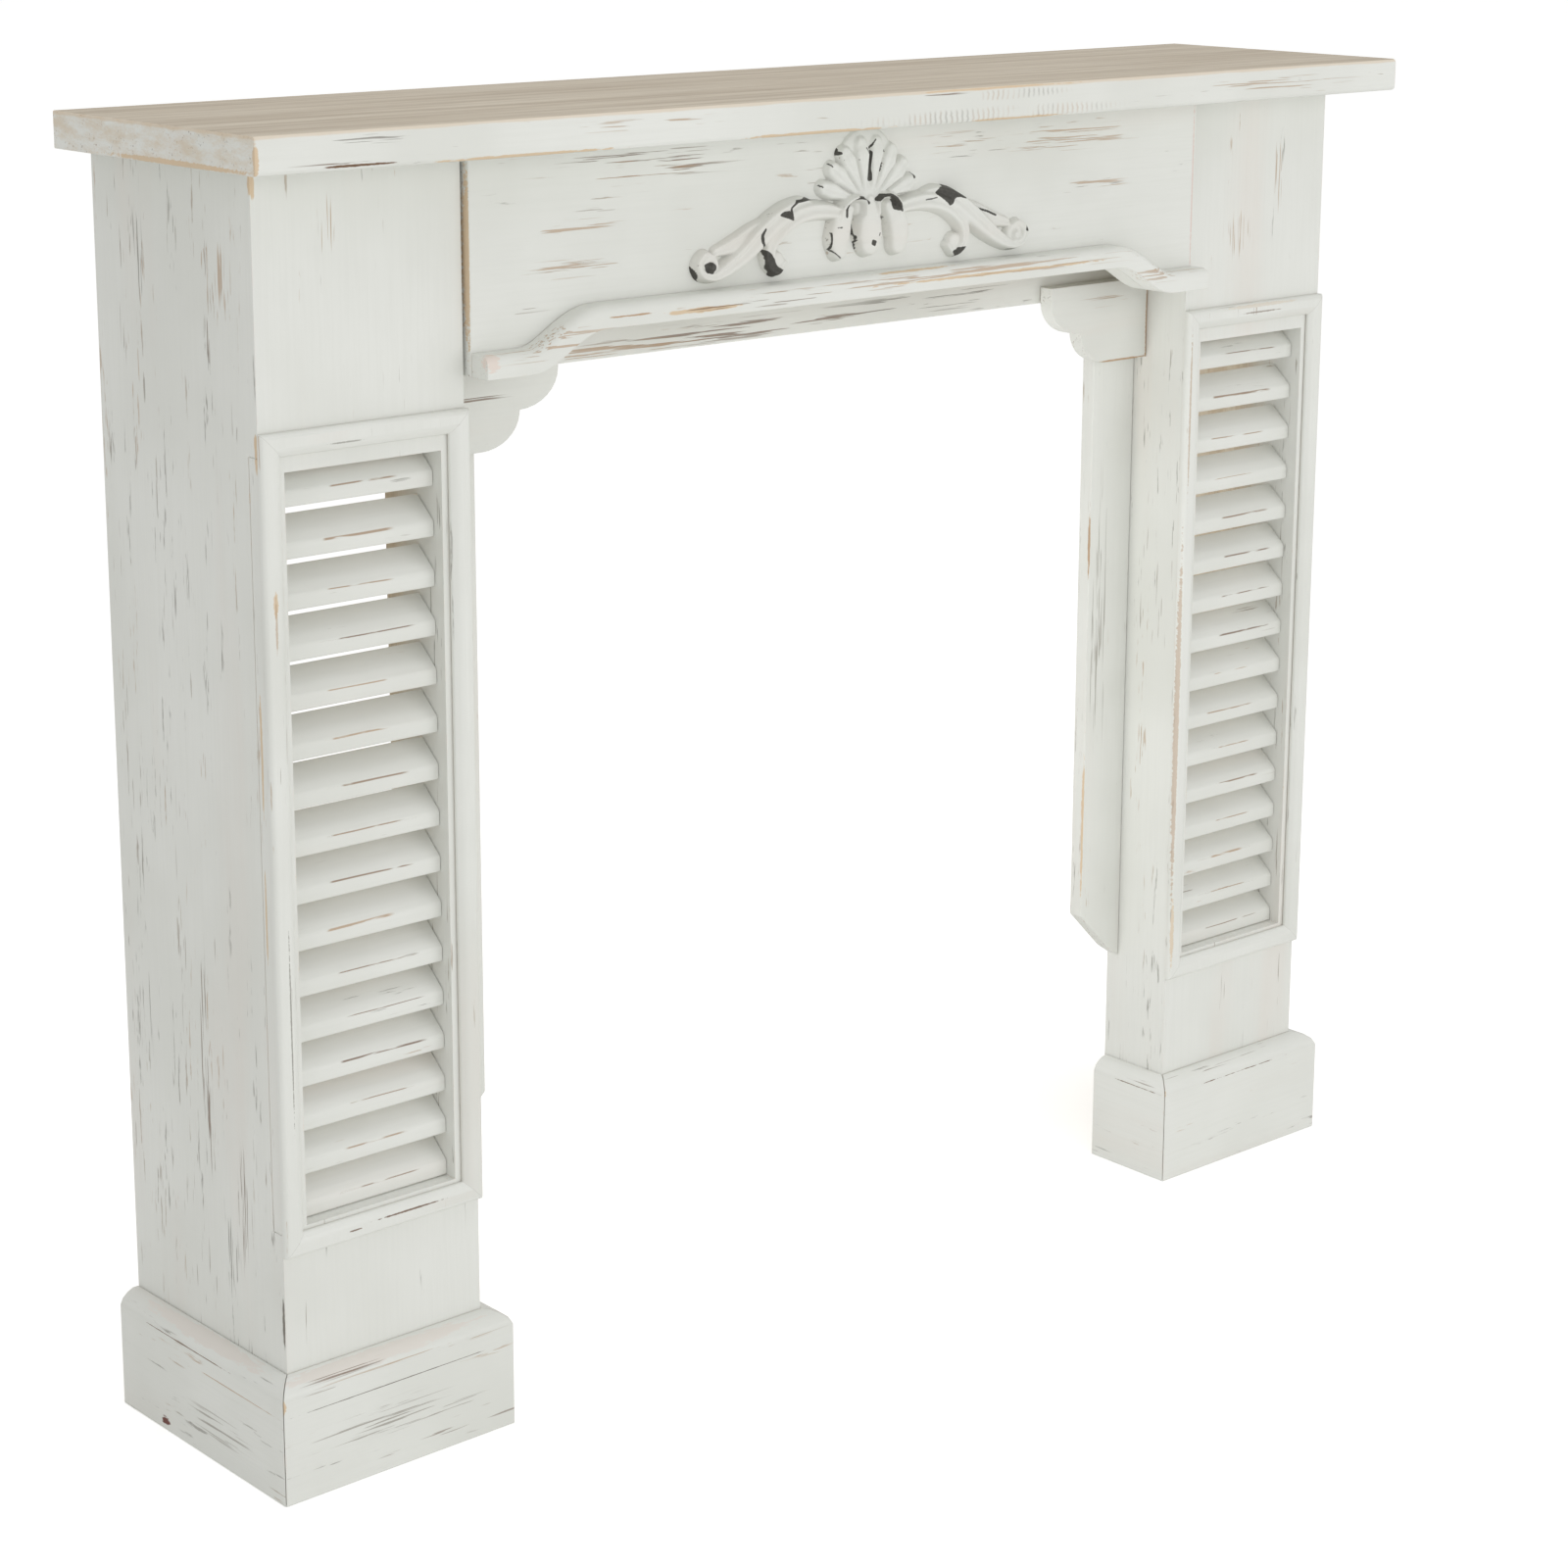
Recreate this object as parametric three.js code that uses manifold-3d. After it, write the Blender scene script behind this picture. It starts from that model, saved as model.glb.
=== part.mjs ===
// Free-standing wooden mantelpiece: a shelf on two open-backed louvred legs, a frieze with an
// applied scroll ornament, and an inner frame of rail, stiles and brackets round the fire opening.
// Millimetres, +Z up. X runs along the front, the front faces -Y, and the origin is on the floor
// at the middle of the outer box.
import * as THREE from 'three';
import { mergeVertices } from 'three/addons/utils/BufferGeometryUtils.js';
import Module from 'manifold-3d';

const wasm = await Module();
wasm.setup();

// Overall sizes
const OPENING_HEIGHT = 802; // floor to the rail over the fire
const HEAD_HEIGHT = 171; // from there to the shelf's underside
const LEG_SPREAD = 1117; // over the outer faces of both legs
const LEG_WIDTH = 175;
const LEG_DEPTH = 207.5; // wall to the leg's front face
const RETURN_DEPTH = 71.5; // inner side board of a leg, from the front face back
const SIDE_BOARD = 21; // thickness of a leg's side boards
const PANEL_THICKNESS = 15; // plain front panels over and under the louvres
const JOINT_GAP = 0.3; // between pieces that meet

// Shelf
const SHELF_THICKNESS = 27;
const SHELF_END_OVERHANG = 29.5;
const SHELF_FRONT_OVERHANG = 53.5;
const SHELF_ARRIS = 3; // rounded edge

// Plinths: three mitred boards round each leg's foot, with a rounded and bevelled top
const PLINTH_SIDE = 16.8;
const PLINTH_FRONT = 19.5;
const PLINTH_EDGE_HEIGHT = 82.5; // top of the upright face
const PLINTH_TOP_HEIGHT = 93.7; // where the bevel meets the leg
const PLINTH_RETURN_DEPTH = 69;

// Louvred part of each leg, with a mitred moulding round it
const LOUVRE_DROP = 40; // top of the opening down to the louvres
const LOUVRE_BOTTOM = 205;
const SURROUND_DROP = 11; // top of the opening down to the moulding
const SURROUND_BOTTOM = 184.8;
const SURROUND_WIDTH = 17;
const SURROUND_PROUD = 7;
const SURROUND_OVERHANG = 1.2; // past the leg's side faces
const SLAT_COUNT = 16;
const SLAT_RECESS = 10; // nose of a slat behind the leg's front face
const SLAT_NOSE = 12; // height of the upright nose
const SLAT_DEPTH = 20;
const SLAT_RISE = 29.5; // lower front edge to upper back edge
const SLAT_ARRIS = 1.2;
const FIRST_SLAT_DROP = 27.5; // louvres' top down to the first slat's lower front edge
const LAST_SLAT_GAP = 0.3; // under the last slat
const SLAT_PITCH_TAPER = 4; // how much wider the topmost spacing is than the lowest

// Frieze board and the shaped moulding along its lower edge
const FRIEZE_THICKNESS = 20;
const FRIEZE_PROUD = 6; // in front of the legs
const FRIEZE_FOOT_RISE = 11; // its lower edge over the opening's top, at both ends
const FRIEZE_CROWN_RISE = 38; // and over the middle
const OGEE_SETBACK = 43.5; // straight foot at each end
const OGEE_RUN = 68;
const OGEE_STEPS = 10;
const MOULDING_PROUD = 20;
const MOULDING_HEIGHT = 17.5;
const MOULDING_FACE = 11; // upright lower part of its front
const MOULDING_TOP_DEPTH = 12.5; // flat top before the rounding

// Inner frame
const FRAME_THICKNESS = 13.5;
const RAIL_HEADROOM = 81; // rail's top to the shelf
const STILE_WIDTH = 51;
const STILE_FOOT = 193; // lowest point, against the leg
const STILE_CUT_HEIGHT = 47;
const STILE_KNEE_SETBACK = 14.5; // from the leg
const STILE_KNEE_HEIGHT = 10; // over the lowest point
const BRACKET_THICKNESS = 13.5;
const BRACKET_REACH = 120;
const BRACKET_LAP = 14; // over the rail
const BRACKET_SHOULDER = 1; // where the upper lobe starts, over the rail's lower edge
const UPPER_LOBE_WIDTH = 36.5;
const UPPER_LOBE_DROP = 29;
const LOWER_LOBE_WIDTH = 35;
const LOWER_LOBE_DROP = 28;
const LOBE_STEPS = 8;

// Applied ornament, which fills the frieze's height between two margins
const ORNAMENT_TOP_MARGIN = 6.5;
const ORNAMENT_BOTTOM_MARGIN = 20.5;
const ORNAMENT_RELIEF = 13;

// Paint colours
const WHITE_WASH = 0xdedfd7;
const BRUSHED_WHITE = 0xe4e4dd;
const BARE_SHELF = 0xcabca3;

// Places worked out from the sizes
const X_OUT = LEG_SPREAD / 2;
const X_IN = X_OUT - LEG_WIDTH;
const Y_WALL = (LEG_DEPTH + SHELF_FRONT_OVERHANG) / 2;
const Y_LEG = Y_WALL - LEG_DEPTH;
const Y_RETURN = Y_LEG + RETURN_DEPTH;
const Y_FRIEZE = Y_LEG - FRIEZE_PROUD;
const Y_FRAME = Y_RETURN - FRAME_THICKNESS;
const Z_SHELF = OPENING_HEIGHT + HEAD_HEIGHT;
const Z_TOP = Z_SHELF + SHELF_THICKNESS;
const Z_CROWN = OPENING_HEIGHT + FRIEZE_CROWN_RISE;
const LOUVRE_TOP = OPENING_HEIGHT - LOUVRE_DROP;

const AXIS_X = new THREE.Vector3(1, 0, 0);
const AXIS_Y = new THREE.Vector3(0, 1, 0);
const AXIS_Z = new THREE.Vector3(0, 0, 1);
// A section drawn in Y and Z, run along +X
const ALONG_X = new THREE.Matrix4().makeBasis(AXIS_Y, AXIS_Z, AXIS_X);
// An outline drawn in X and Z, made thick towards the front
const TO_FRONT = new THREE.Matrix4().makeBasis(AXIS_X, AXIS_Z, AXIS_Y.clone().negate());

const mantelpiece = new THREE.Group();
mantelpiece.name = 'mantelpiece';

function add(parent, name, geometry, colour, roughness = 0.72) {
  const material = new THREE.MeshStandardMaterial({ color: colour, roughness, metalness: 0 });
  const mesh = new THREE.Mesh(geometry, material);
  mesh.name = name;
  parent.add(mesh);
  return mesh;
}

// A board between two corners
function board(low, high) {
  const size = high.map((value, axis) => value - low[axis]);
  const geometry = new THREE.BoxGeometry(...size);
  geometry.translate(...low.map((value, axis) => value + size[axis] / 2));
  return geometry;
}

// A straight piece of one outline
function extruded(points, length, basis) {
  const shape = new THREE.Shape(points.map(([x, y]) => new THREE.Vector2(x, y)));
  const geometry = new THREE.ExtrudeGeometry(shape, { depth: length, bevelEnabled: false });
  return geometry.applyMatrix4(basis);
}

// Points on an ellipse's arc, angles in degrees
function arc(cx, cy, rx, ry, from, to, steps) {
  const points = [];
  for (let i = 0; i <= steps; i += 1) {
    const angle = THREE.MathUtils.degToRad(from + ((to - from) * i) / steps);
    points.push([cx + rx * Math.cos(angle), cy + ry * Math.sin(angle)]);
  }
  return points;
}

// Signed volume, to tell which way a closed mesh's faces point
function volumeOf(positions, index) {
  const [a, b, c] = [new THREE.Vector3(), new THREE.Vector3(), new THREE.Vector3()];
  let sum = 0;
  for (let i = 0; i < index.length; i += 3) {
    a.fromArray(positions, index[i] * 3);
    b.fromArray(positions, index[i + 1] * 3);
    c.fromArray(positions, index[i + 2] * 3);
    sum += a.dot(b.cross(c)) / 6;
  }
  return sum;
}

// Skin over rings of matching points. An open run is capped with its section, a closed run
// joins its last ring to its first.
function lofted(rings, section, closed = false) {
  const count = rings[0].length;
  const positions = rings.flat().flatMap((p) => [p.x, p.y, p.z]);
  const index = [];
  const runs = closed ? rings.length : rings.length - 1;
  for (let r = 0; r < runs; r += 1) {
    const near = r * count;
    const far = ((r + 1) % rings.length) * count;
    for (let i = 0; i < count; i += 1) {
      const j = (i + 1) % count;
      index.push(near + i, near + j, far + j, near + i, far + j, far + i);
    }
  }
  if (!closed) {
    const last = (rings.length - 1) * count;
    const flat = section.map(([x, y]) => new THREE.Vector2(x, y));
    const wound = THREE.ShapeUtils.isClockWise(flat) ? -1 : 1;
    for (const [i, j, k] of THREE.ShapeUtils.triangulateShape(flat, [])) {
      const face = wound > 0 ? [i, k, j] : [i, j, k];
      index.push(...face);
      index.push(last + face[0], last + face[2], last + face[1]);
    }
    if (wound < 0) {
      for (let i = index.length - 3; i >= runs * count * 6; i -= 3) {
        [index[i + 1], index[i + 2]] = [index[i + 2], index[i + 1]];
      }
    }
  }
  if (volumeOf(positions, index) < 0) {
    for (let i = 0; i < index.length; i += 3) {
      [index[i + 1], index[i + 2]] = [index[i + 2], index[i + 1]];
    }
  }
  const geometry = new THREE.BufferGeometry();
  geometry.setAttribute('position', new THREE.Float32BufferAttribute(positions, 3));
  geometry.setIndex(index);
  geometry.computeVertexNormals();
  return geometry;
}

// Shelf: one wide board over everything, with softened arrises
function makeShelf() {
  const half = (LEG_DEPTH + SHELF_FRONT_OVERHANG) / 2;
  const length = LEG_SPREAD + 2 * SHELF_END_OVERHANG;
  const r = SHELF_ARRIS;
  const steps = 3;
  const section = [
    ...arc(-half + r, Z_SHELF + r, r, r, 270, 180, steps),
    ...arc(-half + r, Z_TOP - r, r, r, 180, 90, steps),
    [half, Z_TOP],
    [half, Z_SHELF],
  ];
  const geometry = extruded(section, length, ALONG_X);
  geometry.translate(-length / 2, 0, 0);
  add(mantelpiece, 'shelf', geometry, BARE_SHELF);
}

// Lower edge of the frieze: straight over the opening, with an ogee down to a foot at each end
function friezeEdge() {
  const half = X_IN - JOINT_GAP;
  const foot = OPENING_HEIGHT + FRIEZE_FOOT_RISE;
  const start = X_IN - OGEE_SETBACK - OGEE_RUN;
  const right = [];
  for (let i = 0; i <= OGEE_STEPS; i += 1) {
    const share = i / OGEE_STEPS;
    const fall = (1 - Math.cos(Math.PI * share)) / 2;
    right.push([start + OGEE_RUN * share, Z_CROWN + (foot - Z_CROWN) * fall]);
  }
  right.push([half, foot]);
  const left = right.map(([x, z]) => [-x, z]).reverse();
  return [...left, ...right];
}

function makeFrieze() {
  const half = X_IN - JOINT_GAP;
  const top = Z_SHELF - JOINT_GAP;
  const outline = [...friezeEdge(), [half, top], [-half, top]];
  const geometry = extruded(outline, FRIEZE_THICKNESS, TO_FRONT);
  geometry.translate(0, Y_FRIEZE + FRIEZE_THICKNESS, 0);
  add(mantelpiece, 'frieze_board', geometry, WHITE_WASH);
}

// Section of the frieze moulding: outwards from the board, and up from its lower edge
function mouldingSection() {
  const rounding = arc(
    MOULDING_TOP_DEPTH,
    MOULDING_FACE,
    MOULDING_PROUD - MOULDING_TOP_DEPTH,
    MOULDING_HEIGHT - MOULDING_FACE,
    0,
    90,
    4,
  );
  return [[JOINT_GAP, 0], [MOULDING_PROUD, 0], ...rounding, [JOINT_GAP, MOULDING_HEIGHT]];
}

function makeFriezeMoulding() {
  const path = friezeEdge();
  const section = mouldingSection();
  const rings = path.map(([x, z], i) => {
    const before = path[Math.max(i - 1, 0)];
    const after = path[Math.min(i + 1, path.length - 1)];
    const atEnd = i === 0 || i === path.length - 1;
    const run = new THREE.Vector2(after[0] - before[0], after[1] - before[1]).normalize();
    const normal = atEnd ? new THREE.Vector2(0, 1) : new THREE.Vector2(-run.y, run.x);
    return section.map(
      ([out, up]) => new THREE.Vector3(x + normal.x * up, Y_FRIEZE - out, z + normal.y * up),
    );
  });
  add(mantelpiece, 'frieze_moulding', lofted(rings, section), WHITE_WASH);
}

// Rail over the fire opening, in the plane of the stiles
function makeLintelRail() {
  const half = X_IN - JOINT_GAP;
  const low = [-half, Y_FRAME, OPENING_HEIGHT];
  const high = [half, Y_RETURN, Z_SHELF - RAIL_HEADROOM];
  add(mantelpiece, 'lintel_rail', board(low, high), WHITE_WASH);
}

// Stile on the inner side of a leg, its foot cut to a rounded point. side is -1 or 1.
function makeStile(side, label) {
  const outer = X_IN - JOINT_GAP;
  const inner = X_IN - STILE_WIDTH;
  const top = OPENING_HEIGHT - JOINT_GAP;
  const outline = [
    [outer, top],
    [inner, top],
    [inner, STILE_FOOT + STILE_CUT_HEIGHT],
    [outer - STILE_KNEE_SETBACK, STILE_FOOT + STILE_KNEE_HEIGHT],
    [outer, STILE_FOOT],
  ];
  const geometry = extruded(outline.map(([x, z]) => [side * x, z]), FRAME_THICKNESS, TO_FRONT);
  geometry.translate(0, Y_RETURN, 0);
  add(mantelpiece, `inner_stile_${label}`, geometry, WHITE_WASH);
}

// Bracket in the corner of the opening: two convex lobes stepping down to the stile
function makeBracket(side, label) {
  const outer = X_IN - JOINT_GAP;
  const inner = X_IN - BRACKET_REACH;
  const top = OPENING_HEIGHT + BRACKET_LAP;
  const shoulder = OPENING_HEIGHT + BRACKET_SHOULDER;
  const upperX = inner + UPPER_LOBE_WIDTH;
  const lowerX = upperX + LOWER_LOBE_WIDTH;
  const notch = shoulder - UPPER_LOBE_DROP;
  const pastNotch = 186; // just under level, so that the lobes meet in a notch
  const outline = [
    [outer, top],
    [inner, top],
    ...arc(upperX, shoulder, UPPER_LOBE_WIDTH, UPPER_LOBE_DROP, 180, 270, LOBE_STEPS),
    ...arc(lowerX, notch, LOWER_LOBE_WIDTH, LOWER_LOBE_DROP, pastNotch, 270, LOBE_STEPS),
    [outer, notch - LOWER_LOBE_DROP],
  ];
  const geometry = extruded(outline.map(([x, z]) => [side * x, z]), BRACKET_THICKNESS, TO_FRONT);
  geometry.translate(0, Y_FRAME - JOINT_GAP, 0);
  add(mantelpiece, `bracket_${label}`, geometry, WHITE_WASH);
}

// Leg boards: full-depth outer side, shallow inner side, and a panel above and below the louvres
function makeLegBoards(leg, side, label) {
  const top = Z_SHELF - JOINT_GAP;
  const across = (a, b) => [Math.min(side * a, side * b), Math.max(side * a, side * b)];
  const pieces = [
    ['leg_outer_side', across(X_OUT - SIDE_BOARD, X_OUT), Y_WALL, 0, top],
    ['leg_inner_side', across(X_IN, X_IN + SIDE_BOARD), Y_RETURN, 0, top],
  ];
  const panelAcross = across(X_IN + SIDE_BOARD + JOINT_GAP, X_OUT - SIDE_BOARD - JOINT_GAP);
  const panelBack = Y_LEG + PANEL_THICKNESS;
  pieces.push(['upper_panel', panelAcross, panelBack, LOUVRE_TOP, top]);
  pieces.push(['lower_panel', panelAcross, panelBack, 0, LOUVRE_BOTTOM - JOINT_GAP]);
  for (const [name, [left, right], back, low, high] of pieces) {
    const geometry = board([left, Y_LEG, low], [right, back, high]);
    add(leg, `${name}_${label}`, geometry, WHITE_WASH);
  }
}

// Section of the surround: in from its outer edge, and out from the leg's face. It is rounded
// outside, flat on top, and falls to a thin inner edge.
function surroundSection() {
  const crown = [[0, 0.62], [0.1, 0.9], [0.22, 1], [0.6, 1], [0.8, 0.8], [1, 0.42]];
  const face = crown.map(([across, out]) => [across * SURROUND_WIDTH, out * SURROUND_PROUD]);
  return [[0, JOINT_GAP], ...face, [SURROUND_WIDTH, JOINT_GAP]];
}

// Surround: a picture-frame moulding mitred at its four corners
function makeSurround(leg, side, label) {
  const left = side > 0 ? X_IN - SURROUND_OVERHANG : -X_OUT - SURROUND_OVERHANG;
  const right = left + LEG_WIDTH + 2 * SURROUND_OVERHANG;
  const top = OPENING_HEIGHT - SURROUND_DROP;
  const corners = [
    [left, SURROUND_BOTTOM, 1, 1],
    [right, SURROUND_BOTTOM, -1, 1],
    [right, top, -1, -1],
    [left, top, 1, -1],
  ];
  const section = surroundSection();
  const rings = corners.map(([x, z, inX, inZ]) => section.map(
    ([inward, out]) => new THREE.Vector3(x + inX * inward, Y_LEG - out, z + inZ * inward),
  ));
  add(leg, `louvre_surround_${label}`, lofted(rings, section, true), WHITE_WASH);
}

// Slats: flat boards leaning back, with an upright nose, set between the side boards
function makeSlats(leg, side, label) {
  const length = LEG_WIDTH - 2 * SIDE_BOARD - 2 * JOINT_GAP;
  const start = side > 0 ? X_IN + SIDE_BOARD + JOINT_GAP : -X_OUT + SIDE_BOARD + JOINT_GAP;
  const nose = Y_LEG + SLAT_RECESS;
  const first = LOUVRE_TOP - FIRST_SLAT_DROP;
  const meanPitch = (first - LOUVRE_BOTTOM - LAST_SLAT_GAP) / (SLAT_COUNT - 1);
  const a = SLAT_ARRIS;
  const slope = (SLAT_RISE - SLAT_NOSE) / SLAT_DEPTH;
  const section = [
    [a, 0],
    [SLAT_DEPTH, SLAT_RISE - SLAT_NOSE],
    [SLAT_DEPTH, SLAT_RISE],
    [a, SLAT_NOSE + a * slope],
    [0.25 * a, SLAT_NOSE - 0.5 * a],
    [0, SLAT_NOSE - 2 * a],
    [0, a],
  ];
  for (let i = 0; i < SLAT_COUNT; i += 1) {
    const taper = (SLAT_PITCH_TAPER * i * (1 - (i - 1) / (SLAT_COUNT - 2))) / 2;
    const geometry = extruded(section, length, ALONG_X);
    const number = String(i + 1).padStart(2, '0');
    const slat = add(leg, `slat_${label}_${number}`, geometry, WHITE_WASH);
    slat.position.set(start, nose, first - meanPitch * i - taper);
  }
}

// Section of a plinth board: share of its thickness out from the leg, and height
function plinthSection() {
  const shoulder = PLINTH_TOP_HEIGHT - PLINTH_EDGE_HEIGHT;
  const rounding = [[1, 0], [0.86, 0.45], [0.6, 0.78], [0.3, 1], [0, 1]];
  const top = rounding.map(([share, rise]) => [share, PLINTH_EDGE_HEIGHT + rise * shoulder]);
  return [[0, 0], [1, 0], ...top];
}

// One plinth board. Each end is a plan position at the leg's face and its shift at full thickness.
function plinthBoard(ends) {
  const section = plinthSection();
  const rings = ends.map(([x, y, shiftX, shiftY]) => section.map(
    ([share, z]) => new THREE.Vector3(x + shiftX * share, y + shiftY * share, z),
  ));
  return lofted(rings, section);
}

// Plinth: outer, front and inner boards mitred at the two front corners
function makePlinth(leg, side, label) {
  const out = X_OUT + JOINT_GAP;
  const inner = X_IN - JOINT_GAP;
  const front = Y_LEG - JOINT_GAP;
  const s = PLINTH_SIDE;
  const f = PLINTH_FRONT;
  const boards = {
    outer: [[out, Y_WALL, s, 0], [out, front + JOINT_GAP, s, -f]],
    front: [[out - JOINT_GAP, front, s, -f], [inner + JOINT_GAP, front, -s, -f]],
    inner: [[inner, front + JOINT_GAP, -s, -f], [inner, Y_LEG + PLINTH_RETURN_DEPTH, -s, 0]],
  };
  for (const [name, ends] of Object.entries(boards)) {
    const placed = ends.map(([x, y, shiftX, shiftY]) => [side * x, y, side * shiftX, shiftY]);
    add(leg, `plinth_${name}_${label}`, plinthBoard(placed), WHITE_WASH);
  }
}

// A closed geometry as a solid that can be joined to others
function solidOf(geometry) {
  const bare = geometry.clone();
  bare.deleteAttribute('normal');
  bare.deleteAttribute('uv');
  const welded = mergeVertices(bare);
  const index = Array.from(welded.index.array);
  const kept = [];
  for (let i = 0; i < index.length; i += 3) {
    const [a, b, c] = index.slice(i, i + 3);
    if (a !== b && b !== c && c !== a) kept.push(a, b, c);
  }
  return new wasm.Manifold(new wasm.Mesh({
    numProp: 3,
    vertProperties: new Float32Array(welded.attributes.position.array),
    triVerts: new Uint32Array(kept),
  }));
}

function geometryOf(solid) {
  const mesh = solid.getMesh();
  const geometry = new THREE.BufferGeometry();
  geometry.setAttribute('position', new THREE.BufferAttribute(mesh.vertProperties, 3));
  geometry.setIndex(new THREE.BufferAttribute(mesh.triVerts, 1));
  geometry.computeVertexNormals();
  return geometry;
}

// Carved band on the ornament's back plane: steep-sided and round on top in section, its width and
// height changing along a smooth line. Places are [across, up, width, height] in the ornament's
// own units.
const BAND_SIDES = 6;
const BAND_SQUARENESS = 0.6;
function carvedBand(places, steps) {
  const line = new THREE.CatmullRomCurve3(places.map(([x, z]) => new THREE.Vector3(x, 0, z)));
  const steeper = (value) => Math.sign(value) * Math.abs(value) ** BAND_SQUARENESS;
  const section = arc(0, 0, 1, 1, 0, 180, BAND_SIDES).map((point) => point.map(steeper));
  const rings = [];
  for (let i = 0; i <= steps; i += 1) {
    const t = i / steps;
    const at = t * (places.length - 1);
    const k = Math.min(Math.floor(at), places.length - 2);
    const mix = at - k;
    const width = THREE.MathUtils.lerp(places[k][2], places[k + 1][2], mix);
    const height = THREE.MathUtils.lerp(places[k][3], places[k + 1][3], mix);
    const centre = line.getPoint(t);
    const ahead = line.getTangent(t);
    rings.push(section.map(([across, up]) => new THREE.Vector3(
      centre.x - ahead.z * across * (width / 2),
      -up * height,
      centre.z + ahead.x * across * (width / 2),
    )));
  }
  return lofted(rings, section);
}

// Low round boss, such as a scroll's eye
function carvedBoss(x, z, radius, height) {
  const profile = arc(0, 0, radius, height, 0, 90, 4).map(([r, y]) => new THREE.Vector2(r, y));
  profile.unshift(new THREE.Vector2(0, 0));
  profile[profile.length - 1].x = 0;
  const geometry = new THREE.LatheGeometry(profile, 16);
  geometry.rotateX(Math.PI);
  geometry.translate(x, 0, z);
  return geometry;
}

// Right half of the ornament, from its middle line and its lowest point, in units that are
// 1 mm when the ornament is 106.5 mm high and its highest carving stands out 12 mm.
const UNIT_HEIGHT = 106.5;
const UNIT_RELIEF = 12;
const OUTER_SCROLL = [
  [54, 52, 8, 5], [70, 54, 15, 8], [86, 50, 18, 10], [100, 43, 19, 10], [114, 33, 20, 10],
  [129, 22, 18, 10], [144, 13, 15, 9], [158, 7, 11, 9], [170, 9, 10, 9], [174, 17, 9, 8],
  [167, 24, 8, 7], [158, 21, 6, 6],
];
const OUTER_LEAF = [[106, 45, 8, 5], [122, 37, 13, 6], [139, 29, 14, 6], [155, 25, 9, 5]];
const INNER_SCROLL = [
  [22, 43, 10, 8], [42, 48, 15, 10], [62, 49, 17, 10], [80, 45, 17, 10], [94, 36, 15, 10],
  [103, 25, 14, 9], [103, 13, 12, 9], [95, 6, 10, 8], [87, 12, 7, 7],
];
const HUSK_HOOK = [
  [32, 40, 8, 9], [29, 51, 9, 11], [19, 57, 9, 12], [8, 54, 8, 12], [7, 43, 8, 11],
];
const SIDE_LOBE = [[21, 48, 12, 7], [29, 37, 24, 9], [32, 25, 25, 9], [31, 15, 18, 8], [30, 11, 9, 4]];
const MIDDLE_LOBE = [[0, 54, 12, 8], [0, 38, 26, 10], [0, 25, 30, 10], [0, 14, 23, 9], [0, 9, 10, 4]];
// Eyes of the scrolls: across, up, radius and height
const SCROLL_EYES = [[162, 15, 12, 6], [162, 15, 6, 9], [95, 13, 11, 6]];
// Low dome that the palmette's leaves lie on
const PALMETTE_DOME = [[0, 48, 20, 3], [0, 62, 72, 5], [0, 78, 86, 5], [0, 92, 66, 5], [0, 101, 20, 3]];
// Palmette leaves: tip across and up, and width where they are widest
const LEAF_TIPS = [[9, 106, 17], [28, 98, 17], [43, 85, 17], [54, 68, 16]];
const LEAF_ROOT = [3, 52];
// Along a leaf: share of its length, of its width and of its height
const LEAF_SHAPE = [[0, 0.2, 0.7], [0.4, 0.56, 0.9], [0.74, 1, 1], [0.9, 0.86, 0.8], [1, 0.3, 0.4]];
const LEAF_HEIGHT = 8;
const LEAF_STEPS = 9;
const HUSK_BOSS = [0, 53, 22, 6];

function ornamentPieces() {
  const [rootX, rootZ] = LEAF_ROOT;
  const pieces = [
    carvedBand(MIDDLE_LOBE, 10), carvedBand(PALMETTE_DOME, 8), carvedBoss(...HUSK_BOSS),
  ];
  for (const side of [-1, 1]) {
    const mirrored = (places) => places.map(([x, ...rest]) => [side * x, ...rest]);
    pieces.push(carvedBand(mirrored(OUTER_SCROLL), 26));
    pieces.push(carvedBand(mirrored(OUTER_LEAF), 8));
    pieces.push(carvedBand(mirrored(INNER_SCROLL), 22));
    pieces.push(carvedBand(mirrored(HUSK_HOOK), 11));
    pieces.push(carvedBand(mirrored(SIDE_LOBE), 10));
    for (const [x, ...rest] of SCROLL_EYES) pieces.push(carvedBoss(side * x, ...rest));
    for (const [x, z, width] of LEAF_TIPS) {
      const places = LEAF_SHAPE.map(([along, wide, high]) => [
        rootX + (x - rootX) * along,
        rootZ + (z - rootZ) * along,
        width * wide,
        LEAF_HEIGHT * high,
      ]);
      pieces.push(carvedBand(mirrored(places), LEAF_STEPS));
    }
  }
  return pieces;
}

function makeOrnament() {
  let solid = null;
  for (const geometry of ornamentPieces()) {
    const next = solidOf(geometry);
    solid = solid ? solid.add(next) : next;
  }
  const height = Z_SHELF - Z_CROWN - ORNAMENT_TOP_MARGIN - ORNAMENT_BOTTOM_MARGIN;
  const scale = height / UNIT_HEIGHT;
  const geometry = geometryOf(solid);
  geometry.scale(scale, ORNAMENT_RELIEF / UNIT_RELIEF, scale);
  geometry.translate(0, Y_FRIEZE - JOINT_GAP, Z_CROWN + ORNAMENT_BOTTOM_MARGIN);
  add(mantelpiece, 'frieze_ornament', geometry, BRUSHED_WHITE, 0.6);
}

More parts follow.
